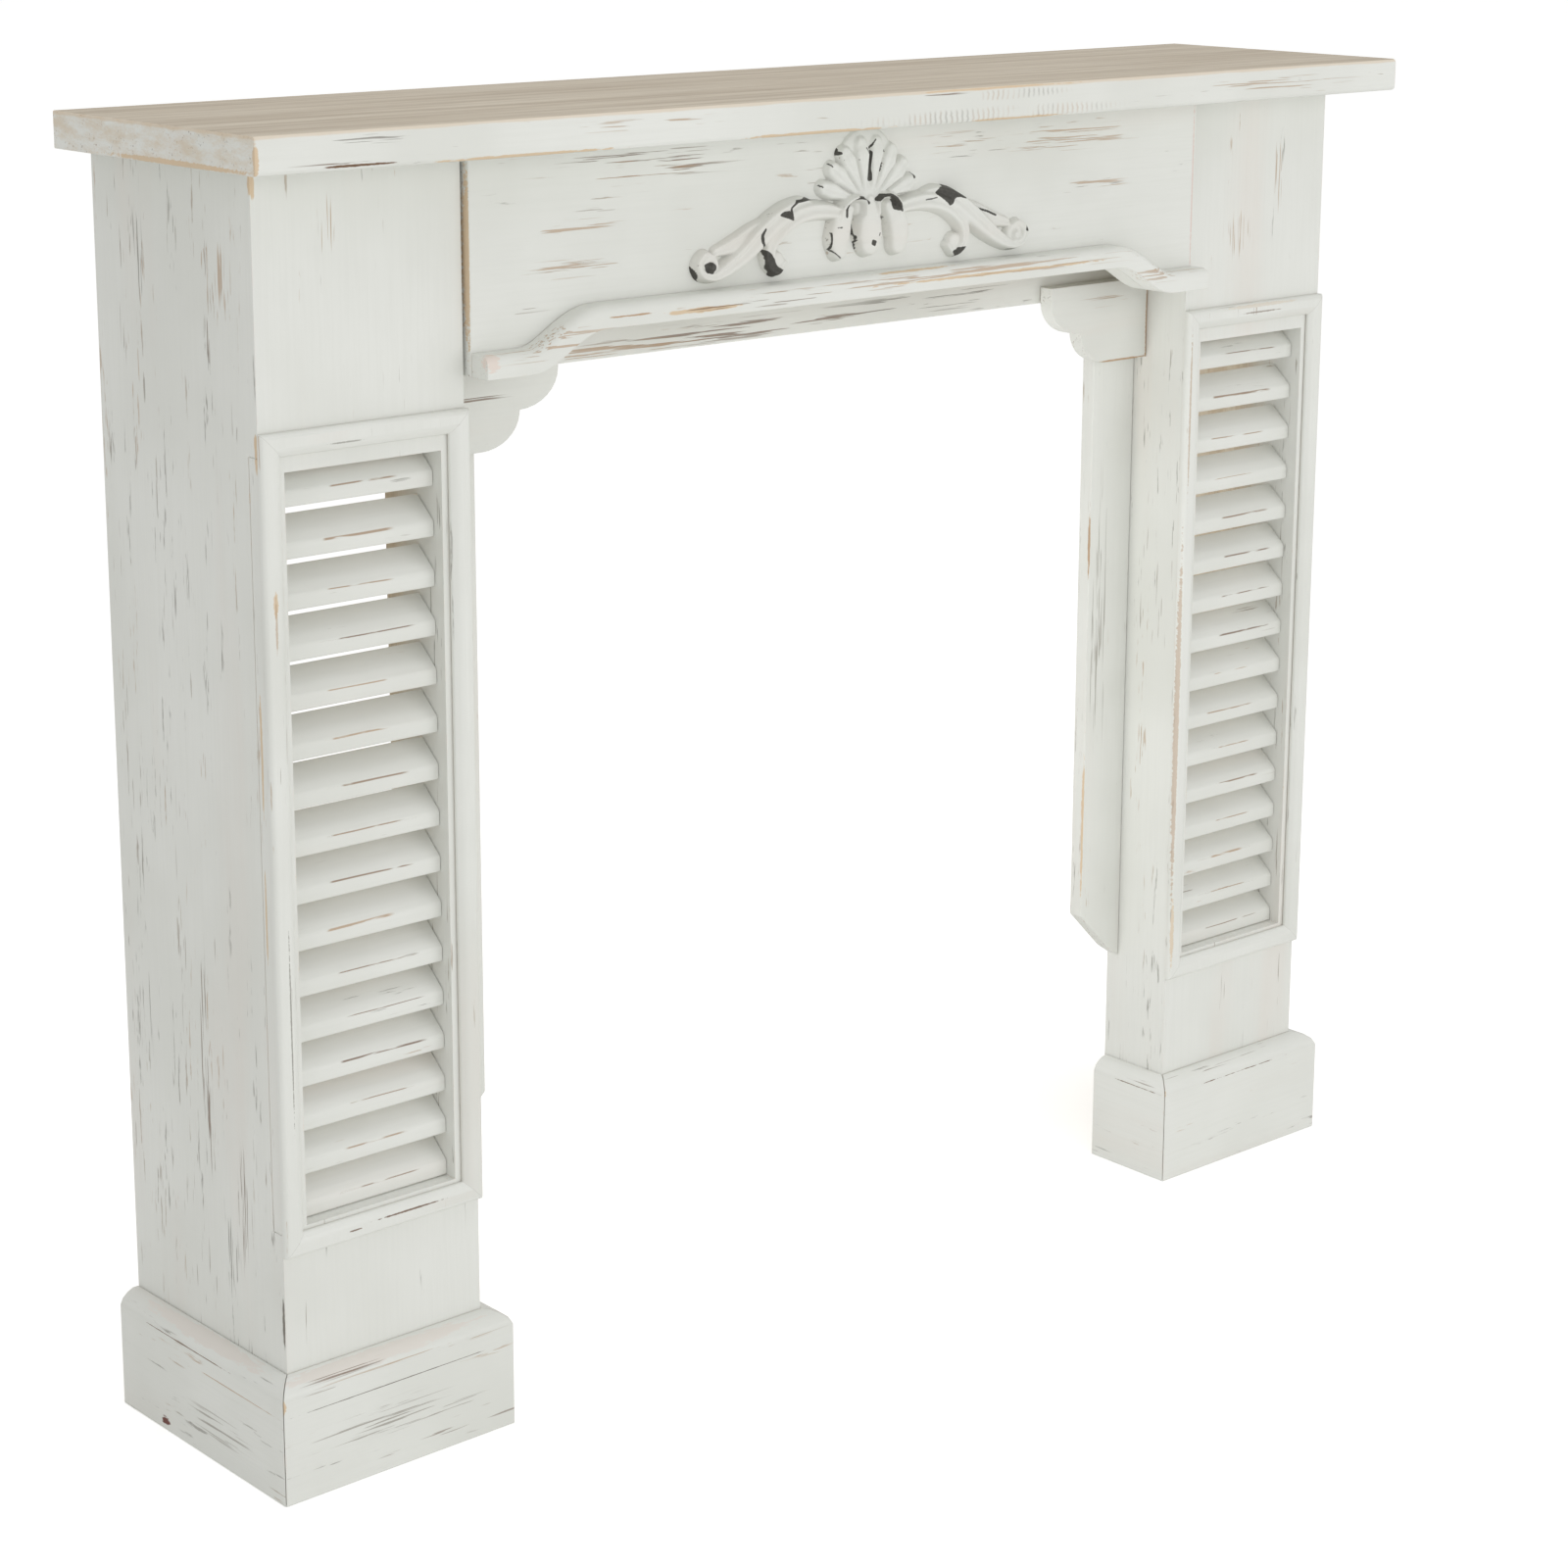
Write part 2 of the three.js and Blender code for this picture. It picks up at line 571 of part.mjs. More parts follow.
makeShelf();
makeFrieze();
makeFriezeMoulding();
makeOrnament();
makeLintelRail();
for (const [side, label] of [[-1, 'left'], [1, 'right']]) {
  makeStile(side, label);
  makeBracket(side, label);
  const leg = new THREE.Group();
  mantelpiece.add(leg);
  makeLegBoards(leg, side, label);
  makeSurround(leg, side, label);
  makeSlats(leg, side, label);
  makePlinth(leg, side, label);
}

export default mantelpiece;
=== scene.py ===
import math

import bmesh
import bpy
import numpy as np
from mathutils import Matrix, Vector


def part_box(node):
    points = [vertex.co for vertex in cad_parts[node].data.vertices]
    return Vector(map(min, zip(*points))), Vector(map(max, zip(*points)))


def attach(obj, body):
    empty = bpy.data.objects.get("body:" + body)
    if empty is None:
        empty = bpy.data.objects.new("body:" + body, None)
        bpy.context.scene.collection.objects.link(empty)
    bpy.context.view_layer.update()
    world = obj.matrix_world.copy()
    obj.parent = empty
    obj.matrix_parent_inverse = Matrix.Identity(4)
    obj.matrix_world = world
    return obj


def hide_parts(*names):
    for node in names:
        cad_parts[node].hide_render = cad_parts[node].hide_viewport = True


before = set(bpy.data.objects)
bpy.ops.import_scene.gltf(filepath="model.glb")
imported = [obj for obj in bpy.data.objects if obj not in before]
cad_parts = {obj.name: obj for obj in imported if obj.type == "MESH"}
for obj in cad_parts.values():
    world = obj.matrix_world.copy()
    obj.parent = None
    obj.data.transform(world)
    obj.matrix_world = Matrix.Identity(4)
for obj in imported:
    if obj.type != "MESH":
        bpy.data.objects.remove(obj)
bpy.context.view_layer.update()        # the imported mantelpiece, in metres, standing on the floor at Z 0


# Leg boxes: planed pine boards, glued and nailed into two open-backed boxes. Thin chalky white
# is brushed on along the grain and rubbed through in fine streaks, and filler and paint hide the
# joints in front. The louvre panels let into them show as a fine line on the outer sides.
MM = 0.001
WELD = 0.01 * MM
FLAT_ANGLE = math.radians(0.5)
ARRIS_ANGLE = math.radians(30)
SMOOTH_ANGLE = math.radians(32)
BOARD_ARRIS = 1.3 * MM
FILLED_JOINT = 0.5 * MM
PANEL_LINE_WIDTH = 0.8 * MM
PANEL_LINE_DEPTH = 0.9 * MM
PANEL_LINE_SETBACK = 12 * MM
PANEL_LINE_INSET = 17 * MM
PAINT_REACH = 40 * MM       # how far behind the slats the hollow of a leg has any paint
UNPAINTED = 0.8


def srgb(red, green, blue):
    """Linear colour of a display colour from 0 to 255."""
    parts = [value / 255 for value in (red, green, blue)]
    linear = [p / 12.92 if p <= 0.04045 else ((p + 0.055) / 1.055) ** 2.4 for p in parts]
    return (*linear, 1.0)


CHALK_WHITE = srgb(230, 231, 226)
CHALK_SHADE = srgb(222, 223, 217)
THIN_WASH = srgb(227, 216, 207)
STREAK_GREY = srgb(128, 123, 115)
STREAK_TAN = srgb(186, 158, 130)
SPLIT_BROWN = srgb(118, 92, 72)
RUBBED_PINE = srgb(216, 194, 165)
PALE_PINE = srgb(218, 204, 180)
DARK_PINE = srgb(196, 174, 142)

ALONG_X = (0.035, 1.0, 1.0)
ALONG_Y = (1.0, 0.035, 1.0)
ALONG_Z = (1.0, 1.0, 0.035)


def wire(tree, kind, inputs, **settings):
    """Adds a node. An input is a value, or a socket to link."""
    node = tree.nodes.new(kind)
    for name, value in settings.items():
        setattr(node, name, value)
    for name, value in inputs.items():
        if isinstance(value, bpy.types.NodeSocket):
            tree.links.new(value, node.inputs[name])
        else:
            node.inputs[name].default_value = value
    return node


def number(tree, operation, *values):
    """Output of a Math node."""
    return wire(tree, "ShaderNodeMath", dict(enumerate(values)), operation=operation).outputs[0]


def vector(tree, operation, *values):
    """Vector output of a Vector Math node."""
    return wire(tree, "ShaderNodeVectorMath", dict(enumerate(values)), operation=operation).outputs[0]


def ramp(tree, value, start, end):
    """Smooth step from 0 at start to 1 at end."""
    inputs = {"Value": value, "From Min": start, "From Max": end}
    return wire(tree, "ShaderNodeMapRange", inputs, interpolation_type="SMOOTHSTEP").outputs[0]


def noise(tree, place, seed, scale, detail=2.0, roughness=0.5):
    """Factor of a noise texture at a place."""
    inputs = {"Vector": place, "W": seed, "Scale": scale, "Detail": detail, "Roughness": roughness}
    return wire(tree, "ShaderNodeTexNoise", inputs, noise_dimensions="4D").outputs[0]


def mixed(tree, share, first, second):
    """Colour between two colours."""
    return wire(tree, "ShaderNodeMix", {0: share, 6: first, 7: second}, data_type="RGBA").outputs[2]


def laid_over(tree, colour, over, mask, strength):
    """Colour with another one laid over it where a mask is, at a strength."""
    return mixed(tree, number(tree, "MULTIPLY", mask, strength), colour, over)


def object_place(tree):
    """Place on a piece in the mantelpiece's own frame."""
    return tree.nodes.new("ShaderNodeTexCoord").outputs["Object"]


def stored(tree, name, output):
    """What a mesh stores under a name."""
    return wire(tree, "ShaderNodeAttribute", {}, attribute_name=name).outputs[output]


def axes(tree, value):
    """X, Y and Z of a vector."""
    return wire(tree, "ShaderNodeSeparateXYZ", {0: value}).outputs


def surface_normal(tree):
    """X, Y and Z of the way a surface faces."""
    return axes(tree, tree.nodes.new("ShaderNodeNewGeometry").outputs["Normal"])


def eased(tree, grain, share):
    """Grain that is drawn out less, so that marks come out shorter and wider."""
    rest = 1 - share
    return vector(tree, "MULTIPLY_ADD", grain, (share, share, share), (rest, rest, rest))


def ragged_edge(tree, place, seed, scale, detail, swing):
    """Noise about 0, which breaks up the edge of a mask when it is added."""
    wave = noise(tree, place, seed, scale, detail, roughness=0.7)
    return number(tree, "MULTIPLY_ADD", wave, swing, -swing / 2)


def effect(name, inputs, outputs):
    """Empty shader node group, with the sockets that its nodes read and feed."""
    group = bpy.data.node_groups.new(name, "ShaderNodeTree")
    for title, kind in inputs.items():
        group.interface.new_socket(name=title, in_out="INPUT", socket_type="NodeSocket" + kind)
    for title in outputs:
        group.interface.new_socket(name=title, in_out="OUTPUT", socket_type="NodeSocketFloat")
    return group, group.nodes.new("NodeGroupInput").outputs, group.nodes.new("NodeGroupOutput").inputs


# Paint rubbed along the grain: fine streaks in columns, a few long splits, thin places and
# brush marks. Grain is small along the grain and 1 across it, and Amount spreads the streaks.
rubbed_paint, given, put = effect(
    "rubbed_paint",
    {"Place": "Vector", "Grain": "Vector", "Seed": "Float", "Amount": "Float"},
    ["Streaks", "Splits", "Thin", "Brush", "Warm"],
)
tree = rubbed_paint
seed = given["Seed"]
amount = given["Amount"]
drawn = vector(tree, "MULTIPLY", given["Place"], given["Grain"])
patchy = vector(tree, "MULTIPLY", given["Place"], eased(tree, given["Grain"], 0.92))
dashed = vector(tree, "MULTIPLY", given["Place"], eased(tree, given["Grain"], 0.965))
gate = number(tree, "MULTIPLY_ADD", amount, -0.17, 0.64)
cluster = noise(tree, patchy, seed, scale=85, detail=3.0, roughness=0.6)
cluster = ramp(tree, number(tree, "SUBTRACT", cluster, gate), 0.0, 0.07)
fine = ramp(tree, noise(tree, dashed, seed, scale=420, detail=3.0, roughness=0.6), 0.575, 0.625)
tree.links.new(number(tree, "MULTIPLY", fine, cluster), put["Streaks"])
split_seed = number(tree, "ADD", seed, 11.0)
split = ramp(tree, noise(tree, drawn, split_seed, scale=480), 0.64, 0.68)
split_gate = number(tree, "MULTIPLY_ADD", amount, -0.12, 0.66)
split_cluster = number(tree, "SUBTRACT", noise(tree, patchy, split_seed, scale=30), split_gate)
split_cluster = ramp(tree, split_cluster, 0.0, 0.05)
tree.links.new(number(tree, "MULTIPLY", split, split_cluster), put["Splits"])
thin_seed = number(tree, "ADD", seed, 23.0)
thin = noise(tree, patchy, thin_seed, scale=16, detail=4.0)
tree.links.new(ramp(tree, thin, 0.52, 0.76), put["Thin"])
tree.links.new(noise(tree, drawn, seed, scale=300, detail=4.0, roughness=0.65), put["Brush"])
warm = noise(tree, patchy, thin_seed, scale=34, detail=1.0)
tree.links.new(ramp(tree, warm, 0.46, 0.60), put["Warm"])

# Wear along an arris: where the rounded normal leaves the face's own, broken up by noise.
arris_wear, given, put = effect(
    "arris_wear",
    {"Place": "Vector", "Radius": "Float", "Seed": "Float"},
    ["Rubbed", "Bare"],
)
tree = arris_wear
rounded = wire(tree, "ShaderNodeBevel", {"Radius": given["Radius"]}, samples=6).outputs[0]
own = tree.nodes.new("ShaderNodeNewGeometry").outputs["True Normal"]
agreement = wire(tree, "ShaderNodeVectorMath", {0: rounded, 1: own}, operation="DOT_PRODUCT")
edge = ramp(tree, number(tree, "SUBTRACT", 1.0, agreement.outputs["Value"]), 0.02, 0.22)
breaks = noise(tree, given["Place"], given["Seed"], scale=38, detail=5.0, roughness=0.7)
scraped = number(tree, "MULTIPLY", edge, ramp(tree, breaks, 0.44, 0.64))
tree.links.new(ramp(tree, scraped, 0.10, 0.65), put["Rubbed"])
deeper = number(tree, "MULTIPLY", edge, ramp(tree, breaks, 0.56, 0.68))
tree.links.new(ramp(tree, deeper, 0.30, 0.75), put["Bare"])

# Nearness of one place: 1 at its centre, 0 at its reach along each axis, and less beyond.
marked_place, given, put = effect(
    "marked_place",
    {"Place": "Vector", "Centre": "Vector", "Reach": "Vector"},
    ["Near"],
)
tree = marked_place
offset = vector(tree, "SUBTRACT", given["Place"], given["Centre"])
shares = vector(tree, "DIVIDE", offset, given["Reach"])
distance = wire(tree, "ShaderNodeVectorMath", {0: shares}, operation="LENGTH").outputs["Value"]
tree.links.new(number(tree, "SUBTRACT", 1.0, distance), put["Near"])

# Bare pine: wide darker rings and short pores, both drawn out along the grain.
pine_grain, given, put = effect(
    "pine_grain",
    {"Place": "Vector", "Grain": "Vector", "Seed": "Float"},
    ["Rings", "Pores"],
)
tree = pine_grain
drawn = vector(tree, "MULTIPLY", given["Place"], given["Grain"])
rings = noise(tree, drawn, given["Seed"], scale=75, detail=4.0, roughness=0.6)
tree.links.new(ramp(tree, rings, 0.34, 0.68), put["Rings"])
pores = noise(tree, drawn, given["Seed"], scale=640)
tree.links.new(ramp(tree, pores, 0.56, 0.72), put["Pores"])


def nearness(tree, where, centre, reach):
    """Nearness of a place given in mm."""
    inputs = {
        "Place": where,
        "Centre": [value * MM for value in centre],
        "Reach": [value * MM for value in reach],
    }
    return wire(tree, "ShaderNodeGroup", inputs, node_tree=marked_place).outputs["Near"]


def worn_patch(tree, where, centre, reach, ragged):
    """Mask of one worn place, given in mm, with a ragged edge."""
    near = number(tree, "ADD", nearness(tree, where, centre, reach), ragged)
    return ramp(tree, near, 0.15, 0.35)


PORE_COVER = 0.35
BRUSHED_COVER = 0.22
THIN_COVER = 0.3
STREAK_COVER = 0.62
SPLIT_COVER = 0.6
ARRIS_COVER = 0.5
BARE_ARRIS_COVER = 0.8
LINE_COVER = 0.75
BARE_BACK_COVER = 0.8
SIDE_WEAR = 0.55            # how much more the sides are rubbed than the front
ARRIS_WEAR_REACH = 2.4 * MM
MARK_GRAIN = 0.8
LINE_GRAIN = 1.15
PAINT_RELIEF = 0.5 * MM


def pine(tree, where, grain, seed, pale, dark):
    """Colour of bare or thinly washed pine."""
    inputs = {"Place": where, "Grain": grain, "Seed": seed}
    figure = wire(tree, "ShaderNodeGroup", inputs, node_tree=pine_grain).outputs
    colour = mixed(tree, figure["Rings"], pale, dark)
    return laid_over(tree, colour, SPLIT_BROWN, figure["Pores"], PORE_COVER)


def painted_wood(name, grain, seed, amount, wear=1.0, worn=(), streaked=(), place=None):
    """Chalky paint on pine. worn and streaked list centre, reach and colour of places, in mm."""
    material = bpy.data.materials.new(name)
    material.use_nodes = True
    tree = material.node_tree
    shader = tree.nodes["Principled BSDF"]
    where = stored(tree, place, "Vector") if place else object_place(tree)
    facing = surface_normal(tree)
    sideways = ramp(tree, number(tree, "ABSOLUTE", facing["X"]), 0.4, 0.8)
    spread = number(tree, "MULTIPLY_ADD", sideways, SIDE_WEAR, amount)
    inputs = {"Place": where, "Grain": grain, "Seed": seed, "Amount": spread}
    rubbed = wire(tree, "ShaderNodeGroup", inputs, node_tree=rubbed_paint).outputs
    inputs = {"Place": where, "Radius": ARRIS_WEAR_REACH, "Seed": seed}
    edges = wire(tree, "ShaderNodeGroup", inputs, node_tree=arris_wear).outputs

    # Paint, thinner in places, then streaks and splits along the grain, then rubbed arrises
    tone = noise(tree, where, seed, scale=6.0, detail=3.0)
    colour = mixed(tree, ramp(tree, tone, 0.35, 0.7), CHALK_WHITE, CHALK_SHADE)
    brushed = ramp(tree, rubbed["Brush"], 0.42, 0.62)
    colour = laid_over(tree, colour, CHALK_SHADE, brushed, BRUSHED_COVER)
    colour = laid_over(tree, colour, THIN_WASH, rubbed["Thin"], THIN_COVER)
    streak_colour = mixed(tree, rubbed["Warm"], STREAK_GREY, STREAK_TAN)
    streaks = number(tree, "MULTIPLY", rubbed["Streaks"], STREAK_COVER)
    colour = mixed(tree, streaks, colour, streak_colour)
    splits = number(tree, "MULTIPLY", rubbed["Splits"], SPLIT_COVER)
    colour = mixed(tree, splits, colour, SPLIT_BROWN)
    colour = laid_over(tree, colour, THIN_WASH, edges["Rubbed"], ARRIS_COVER * wear)
    colour = laid_over(tree, colour, RUBBED_PINE, edges["Bare"], BARE_ARRIS_COVER * wear)
    dents = number(tree, "ADD", streaks, splits)

    # Worn patches and clusters of lines at their own places
    if worn:
        eased_grain = [1 - MARK_GRAIN + MARK_GRAIN * share for share in grain]
        patch_place = vector(tree, "MULTIPLY", where, eased_grain)
        ragged = ragged_edge(tree, patch_place, seed, scale=300, detail=3.0, swing=1.4)
    for centre, reach, shade in worn:
        patch = worn_patch(tree, where, centre, reach, ragged)
        colour = mixed(tree, patch, colour, shade)
    if streaked:
        drawn = vector(tree, "MULTIPLY", where, [share ** LINE_GRAIN for share in grain])
        lines = noise(tree, drawn, seed + 7.0, scale=560, detail=2.5, roughness=0.55)
    for centre, reach, shade in streaked:
        near = ramp(tree, nearness(tree, where, centre, reach), -0.1, 0.6)
        gate = number(tree, "MULTIPLY_ADD", near, -0.10, 0.65)
        share = ramp(tree, number(tree, "SUBTRACT", lines, gate), 0.0, 0.03)
        share = number(tree, "MULTIPLY", near, share)
        colour = laid_over(tree, colour, shade, share, LINE_COVER)
        dents = number(tree, "ADD", dents, share)

    # Faces towards the wall were never painted
    behind = ramp(tree, facing["Y"], 0.5, 0.8)
    back = pine(tree, where, grain, seed, PALE_PINE, DARK_PINE)
    colour = laid_over(tree, colour, back, behind, BARE_BACK_COVER)
    tree.links.new(colour, shader.inputs["Base Color"])
    height = number(tree, "SUBTRACT", number(tree, "MULTIPLY", rubbed["Brush"], 0.18), dents)
    inputs = {"Height": height, "Strength": 0.5, "Distance": PAINT_RELIEF}
    tree.links.new(wire(tree, "ShaderNodeBump", inputs).outputs[0], shader.inputs["Normal"])
    tree.links.new(ramp(tree, rubbed["Brush"], -0.6, 1.6), shader.inputs["Roughness"])
    shader.inputs["Specular IOR Level"].default_value = 0.25
    return material


def painted_over(material, mask, over, strength=1.0):
    """Lays a colour over the paint of a finished material, where a mask made in its tree is."""
    tree = material.node_tree
    base = tree.nodes["Principled BSDF"].inputs["Base Color"]
    paint = base.links[0].from_socket
    tree.links.new(laid_over(tree, paint, over, mask, strength), base)


def settle(piece, nodes):
    """A finished piece stands for its CAD nodes and stays with the one body."""
    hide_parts(*nodes)
    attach(piece, "root")


def applied(piece):
    """Applies a piece's modifiers, so that a plain mesh is left."""
    evaluated = piece.evaluated_get(bpy.context.evaluated_depsgraph_get())
    mesh = bpy.data.meshes.new_from_object(evaluated)
    piece.modifiers.clear()
    piece.data = mesh
    return mesh


def plain_mesh(piece, material):
    """Applies a piece's modifiers and gives it one material."""
    mesh = applied(piece)
    mesh.materials.clear()
    mesh.materials.append(material)
    return mesh


def add_arris(piece, width, segments=2, angle=ARRIS_ANGLE):
    """Rounds the edges of a piece that are sharper than an angle."""
    bevel = piece.modifiers.new("arris", "BEVEL")
    bevel.width = width
    bevel.segments = segments
    bevel.limit_method = "ANGLE"
    bevel.angle_limit = angle


def in_scene(name, data):
    """New object in the scene, at the origin, for a mesh, a lamp or a camera."""
    made = bpy.data.objects.new(name, data)
    bpy.context.scene.collection.objects.link(made)
    return made


def new_piece(name, solid):
    """Object at the origin from a bmesh."""
    mesh = bpy.data.meshes.new(name)
    solid.to_mesh(mesh)
    solid.free()
    return in_scene(name, mesh)


def whole_faces(mesh):
    """Welded copy of a mesh, as a bmesh, with each flat face in one piece."""
    solid = bmesh.new()
    solid.from_mesh(mesh)
    bmesh.ops.remove_doubles(solid, verts=solid.verts, dist=WELD)
    bmesh.ops.dissolve_limit(solid, angle_limit=FLAT_ANGLE, verts=solid.verts, edges=solid.edges)
    return solid


def shaded(piece, material):
    """Applies a piece's modifiers and shades its curves smooth and its broad faces flat."""
    mesh = plain_mesh(piece, material)
    mesh.shade_smooth()
    mesh.set_sharp_from_angle(angle=SMOOTH_ANGLE)
    weighted = piece.modifiers.new("weighted", "WEIGHTED_NORMAL")
    weighted.keep_sharp = True
    plain_mesh(piece, material)


def softened(name, node, material, arris):
    """Copy of a CAD node with its arrises rounded."""
    piece = new_piece(name, whole_faces(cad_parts[node].data))
    add_arris(piece, arris)
    shaded(piece, material)
    settle(piece, [node])
    return piece


def box_piece(name, low, high):
    """Plain block, used to build up or cut a board."""
    solid = bmesh.new()
    bmesh.ops.create_cube(solid, size=1)
    for vert in solid.verts:
        vert.co = [top if side > 0 else foot for side, foot, top in zip(vert.co, low, high)]
    return new_piece(name, solid)


def join_or_cut(piece, other, operation):
    """Boolean of two pieces, with the other one used up."""
    change = piece.modifiers.new("change", "BOOLEAN")
    change.object = other
    change.operation = operation
    change.solver = "EXACT"
    applied(piece)
    bpy.data.objects.remove(other)


LEG_WORN = [
    ((-558, -70, 560), (4, 1.6, 60), RUBBED_PINE),
    ((-558, -69, 440), (4, 1.4, 45), RUBBED_PINE),
    ((-558, -75, 778), (4, 3, 16), RUBBED_PINE),
    ((-557, -76, 962), (3, 3, 14), RUBBED_PINE),
    ((-558, -75, 130), (3, 2, 28), STREAK_GREY),
]
LEG_STREAKED = [
    ((-558, 72, 890), (4, 12, 80), STREAK_GREY),
    ((-558, -36, 898), (4, 10, 26), STREAK_TAN),
    ((-558, 20, 300), (4, 9, 130), SPLIT_BROWN),
    ((-558, -25, 210), (4, 8, 60), SPLIT_BROWN),
    ((-558, -9, 165), (4, 14, 40), STREAK_GREY),
    ((-558, 97, 320), (4, 12, 50), STREAK_GREY),
    ((499, -77, 900), (9, 4, 55), STREAK_TAN),
    ((450, -77, 852), (24, 4, 26), STREAK_TAN),
    ((-387, -77, 570), (6, 4, 80), STREAK_GREY),
    ((-500, -77, 930), (16, 4, 26), STREAK_TAN),
]
leg_paint = painted_wood(
    "leg_paint", ALONG_Z, seed=4.0, amount=0.15, worn=LEG_WORN, streaked=LEG_STREAKED
)
outer_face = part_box("leg_outer_side_right")[0].x
inner_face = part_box("leg_inner_side_right")[1].x
slat_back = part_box("slat_right_01")[1].y
tree = leg_paint.node_tree
where = object_place(tree)
parts = axes(tree, where)
aside = number(tree, "ABSOLUTE", parts["X"])
hollow = number(tree, "GREATER_THAN", aside, inner_face - MM)
hollow = number(tree, "MULTIPLY", hollow, number(tree, "LESS_THAN", aside, outer_face + MM))
unpainted = ramp(tree, parts["Y"], slat_back, slat_back + PAINT_REACH)
hollow = number(tree, "MULTIPLY", hollow, unpainted)
bare = pine(tree, where, ALONG_Z, 5.0, PALE_PINE, DARK_PINE)
painted_over(leg_paint, hollow, bare, UNPAINTED)

surround_box = {side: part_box("louvre_surround_" + side) for side in ("left", "right")}
for side, sign in (("left", -1), ("right", 1)):
    low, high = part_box("leg_outer_side_" + side)
    leg = box_piece("leg_box_" + side, low, high)
    low_inner, high_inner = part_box("leg_inner_side_" + side)
    low_inner.y = low.y
    join_or_cut(leg, box_piece("board", low_inner, high_inner), "UNION")
    filler = Vector((FILLED_JOINT, 0, 0))
    for panel in ("upper_panel_", "lower_panel_"):
        low_panel, high_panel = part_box(panel + side)
        low_panel.y = low.y
        join_or_cut(leg, box_piece("board", low_panel - filler, high_panel + filler), "UNION")
    face = high.x if sign > 0 else low.x
    reach = sorted((face - sign * PANEL_LINE_DEPTH, face + sign * PANEL_LINE_DEPTH))
    bottom = surround_box[side][0].z + PANEL_LINE_INSET
    top = surround_box[side][1].z - PANEL_LINE_INSET
    back = low.y + PANEL_LINE_SETBACK
    front = low.y - PANEL_LINE_WIDTH
    half = PANEL_LINE_WIDTH / 2
    for line_low, line_high in (
        ((reach[0], back - half, bottom), (reach[1], back + half, top)),
        ((reach[0], front, bottom - half), (reach[1], back, bottom + half)),
        ((reach[0], front, top - half), (reach[1], back, top + half)),
    ):
        join_or_cut(leg, box_piece("line", line_low, line_high), "DIFFERENCE")
    solid = whole_faces(leg.data)
    solid.to_mesh(leg.data)
    solid.free()
    add_arris(leg, BOARD_ARRIS)
    shaded(leg, leg_paint)
    boards = ("leg_outer_side_", "leg_inner_side_", "upper_panel_", "lower_panel_")
    settle(leg, [board + side for board in boards])


# Plinths: boards mitred round each foot, their upper outer edge rounded over, glued and nailed,
# painted and well scuffed along the floor.
PLINTH_ARRIS = 0.9 * MM
PLINTH_RUB = srgb(226, 221, 214)
PLINTH_CHIP = srgb(112, 66, 58)
HAIRLINE = srgb(158, 152, 143)
PLINTH_FRONT_WORN = [
    ((-490, -90, 93), (120, 12, 8), PLINTH_RUB),
    ((-476, -97, 69), (100, 2, 0.5), STREAK_GREY),
    ((-575, -96, 79), (3, 3, 7), RUBBED_PINE),
    ((470, -95, 82), (95, 3, 0.8), SPLIT_BROWN),
    ((366, -92, 84), (5, 8, 5), RUBBED_PINE),
]
PLINTH_FRONT_STREAKED = [
    ((-515, -93, 90), (60, 6, 4), SPLIT_BROWN),
    ((-470, -96, 83), (120, 3, 3), STREAK_TAN),
    ((-490, -97, 42), (80, 3, 18), HAIRLINE),
    ((-425, -97, 34), (36, 3, 10), HAIRLINE),
]
PLINTH_SIDE_WORN = [
    ((-570, 20, 93), (12, 110, 7), PLINTH_RUB),
    ((-575, 40, 81), (3, 75, 0.6), SPLIT_BROWN),
    ((-575, -30, 68), (3, 66, 0.5), STREAK_TAN),
    ((-575, 69, 8), (3, 8, 4), PLINTH_CHIP),
    ((365, -60, 82), (3, 40, 0.8), SPLIT_BROWN),
]
PLINTH_SIDE_STREAKED = [((-575, -8, 30), (4, 55, 16), HAIRLINE)]
plinth_front_paint = painted_wood(
    "plinth_front_paint",
    ALONG_X,
    seed=9.0,
    amount=0.35,
    worn=PLINTH_FRONT_WORN,
    streaked=PLINTH_FRONT_STREAKED,
)
plinth_side_paint = painted_wood(
    "plinth_side_paint",
    ALONG_Y,
    seed=12.0,
    amount=0.0,
    worn=PLINTH_SIDE_WORN,
    streaked=PLINTH_SIDE_STREAKED,
)
for side in ("left", "right"):
    node = "plinth_front_" + side
    softened("plinth_front_piece_" + side, node, plinth_front_paint, PLINTH_ARRIS)
    for board in ("outer_", "inner_"):
        node = "plinth_" + board + side
        softened("piece_of_" + node, node, plinth_side_paint, PLINTH_ARRIS)


# Louvre slats: thin pine slats with a rounded nose, set leaning into the leg's side boards.
# Each was rubbed with a cloth, which left one long worn line along the nose.
SLAT_ARRIS = 2.2 * MM
SLAT_ARRIS_ANGLE = math.radians(35)
SLAT_SMOOTH_ANGLE = math.radians(40)
NOSE_RISE = 11.2 * MM       # height of the worn line over the slat's foot
NOSE_WANDER = 3.0 * MM
NOSE_LINE_COVER = 0.85
NOSE_LINE_THIN = 0.28 * MM
NOSE_LINE_THICKER = 0.7 * MM
NOSE_LINE_START = 0.2       # shares of the slat's length, moved inwards by up to the spread
NOSE_LINE_END = 0.1
NOSE_LINE_SPREAD = 0.22
SLAT_SEEDS = {"left": 31.0, "right": 47.0}
SLAT_NODES = {
    side: sorted(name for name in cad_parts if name.startswith("slat_" + side))
    for side in ("left", "right")
}

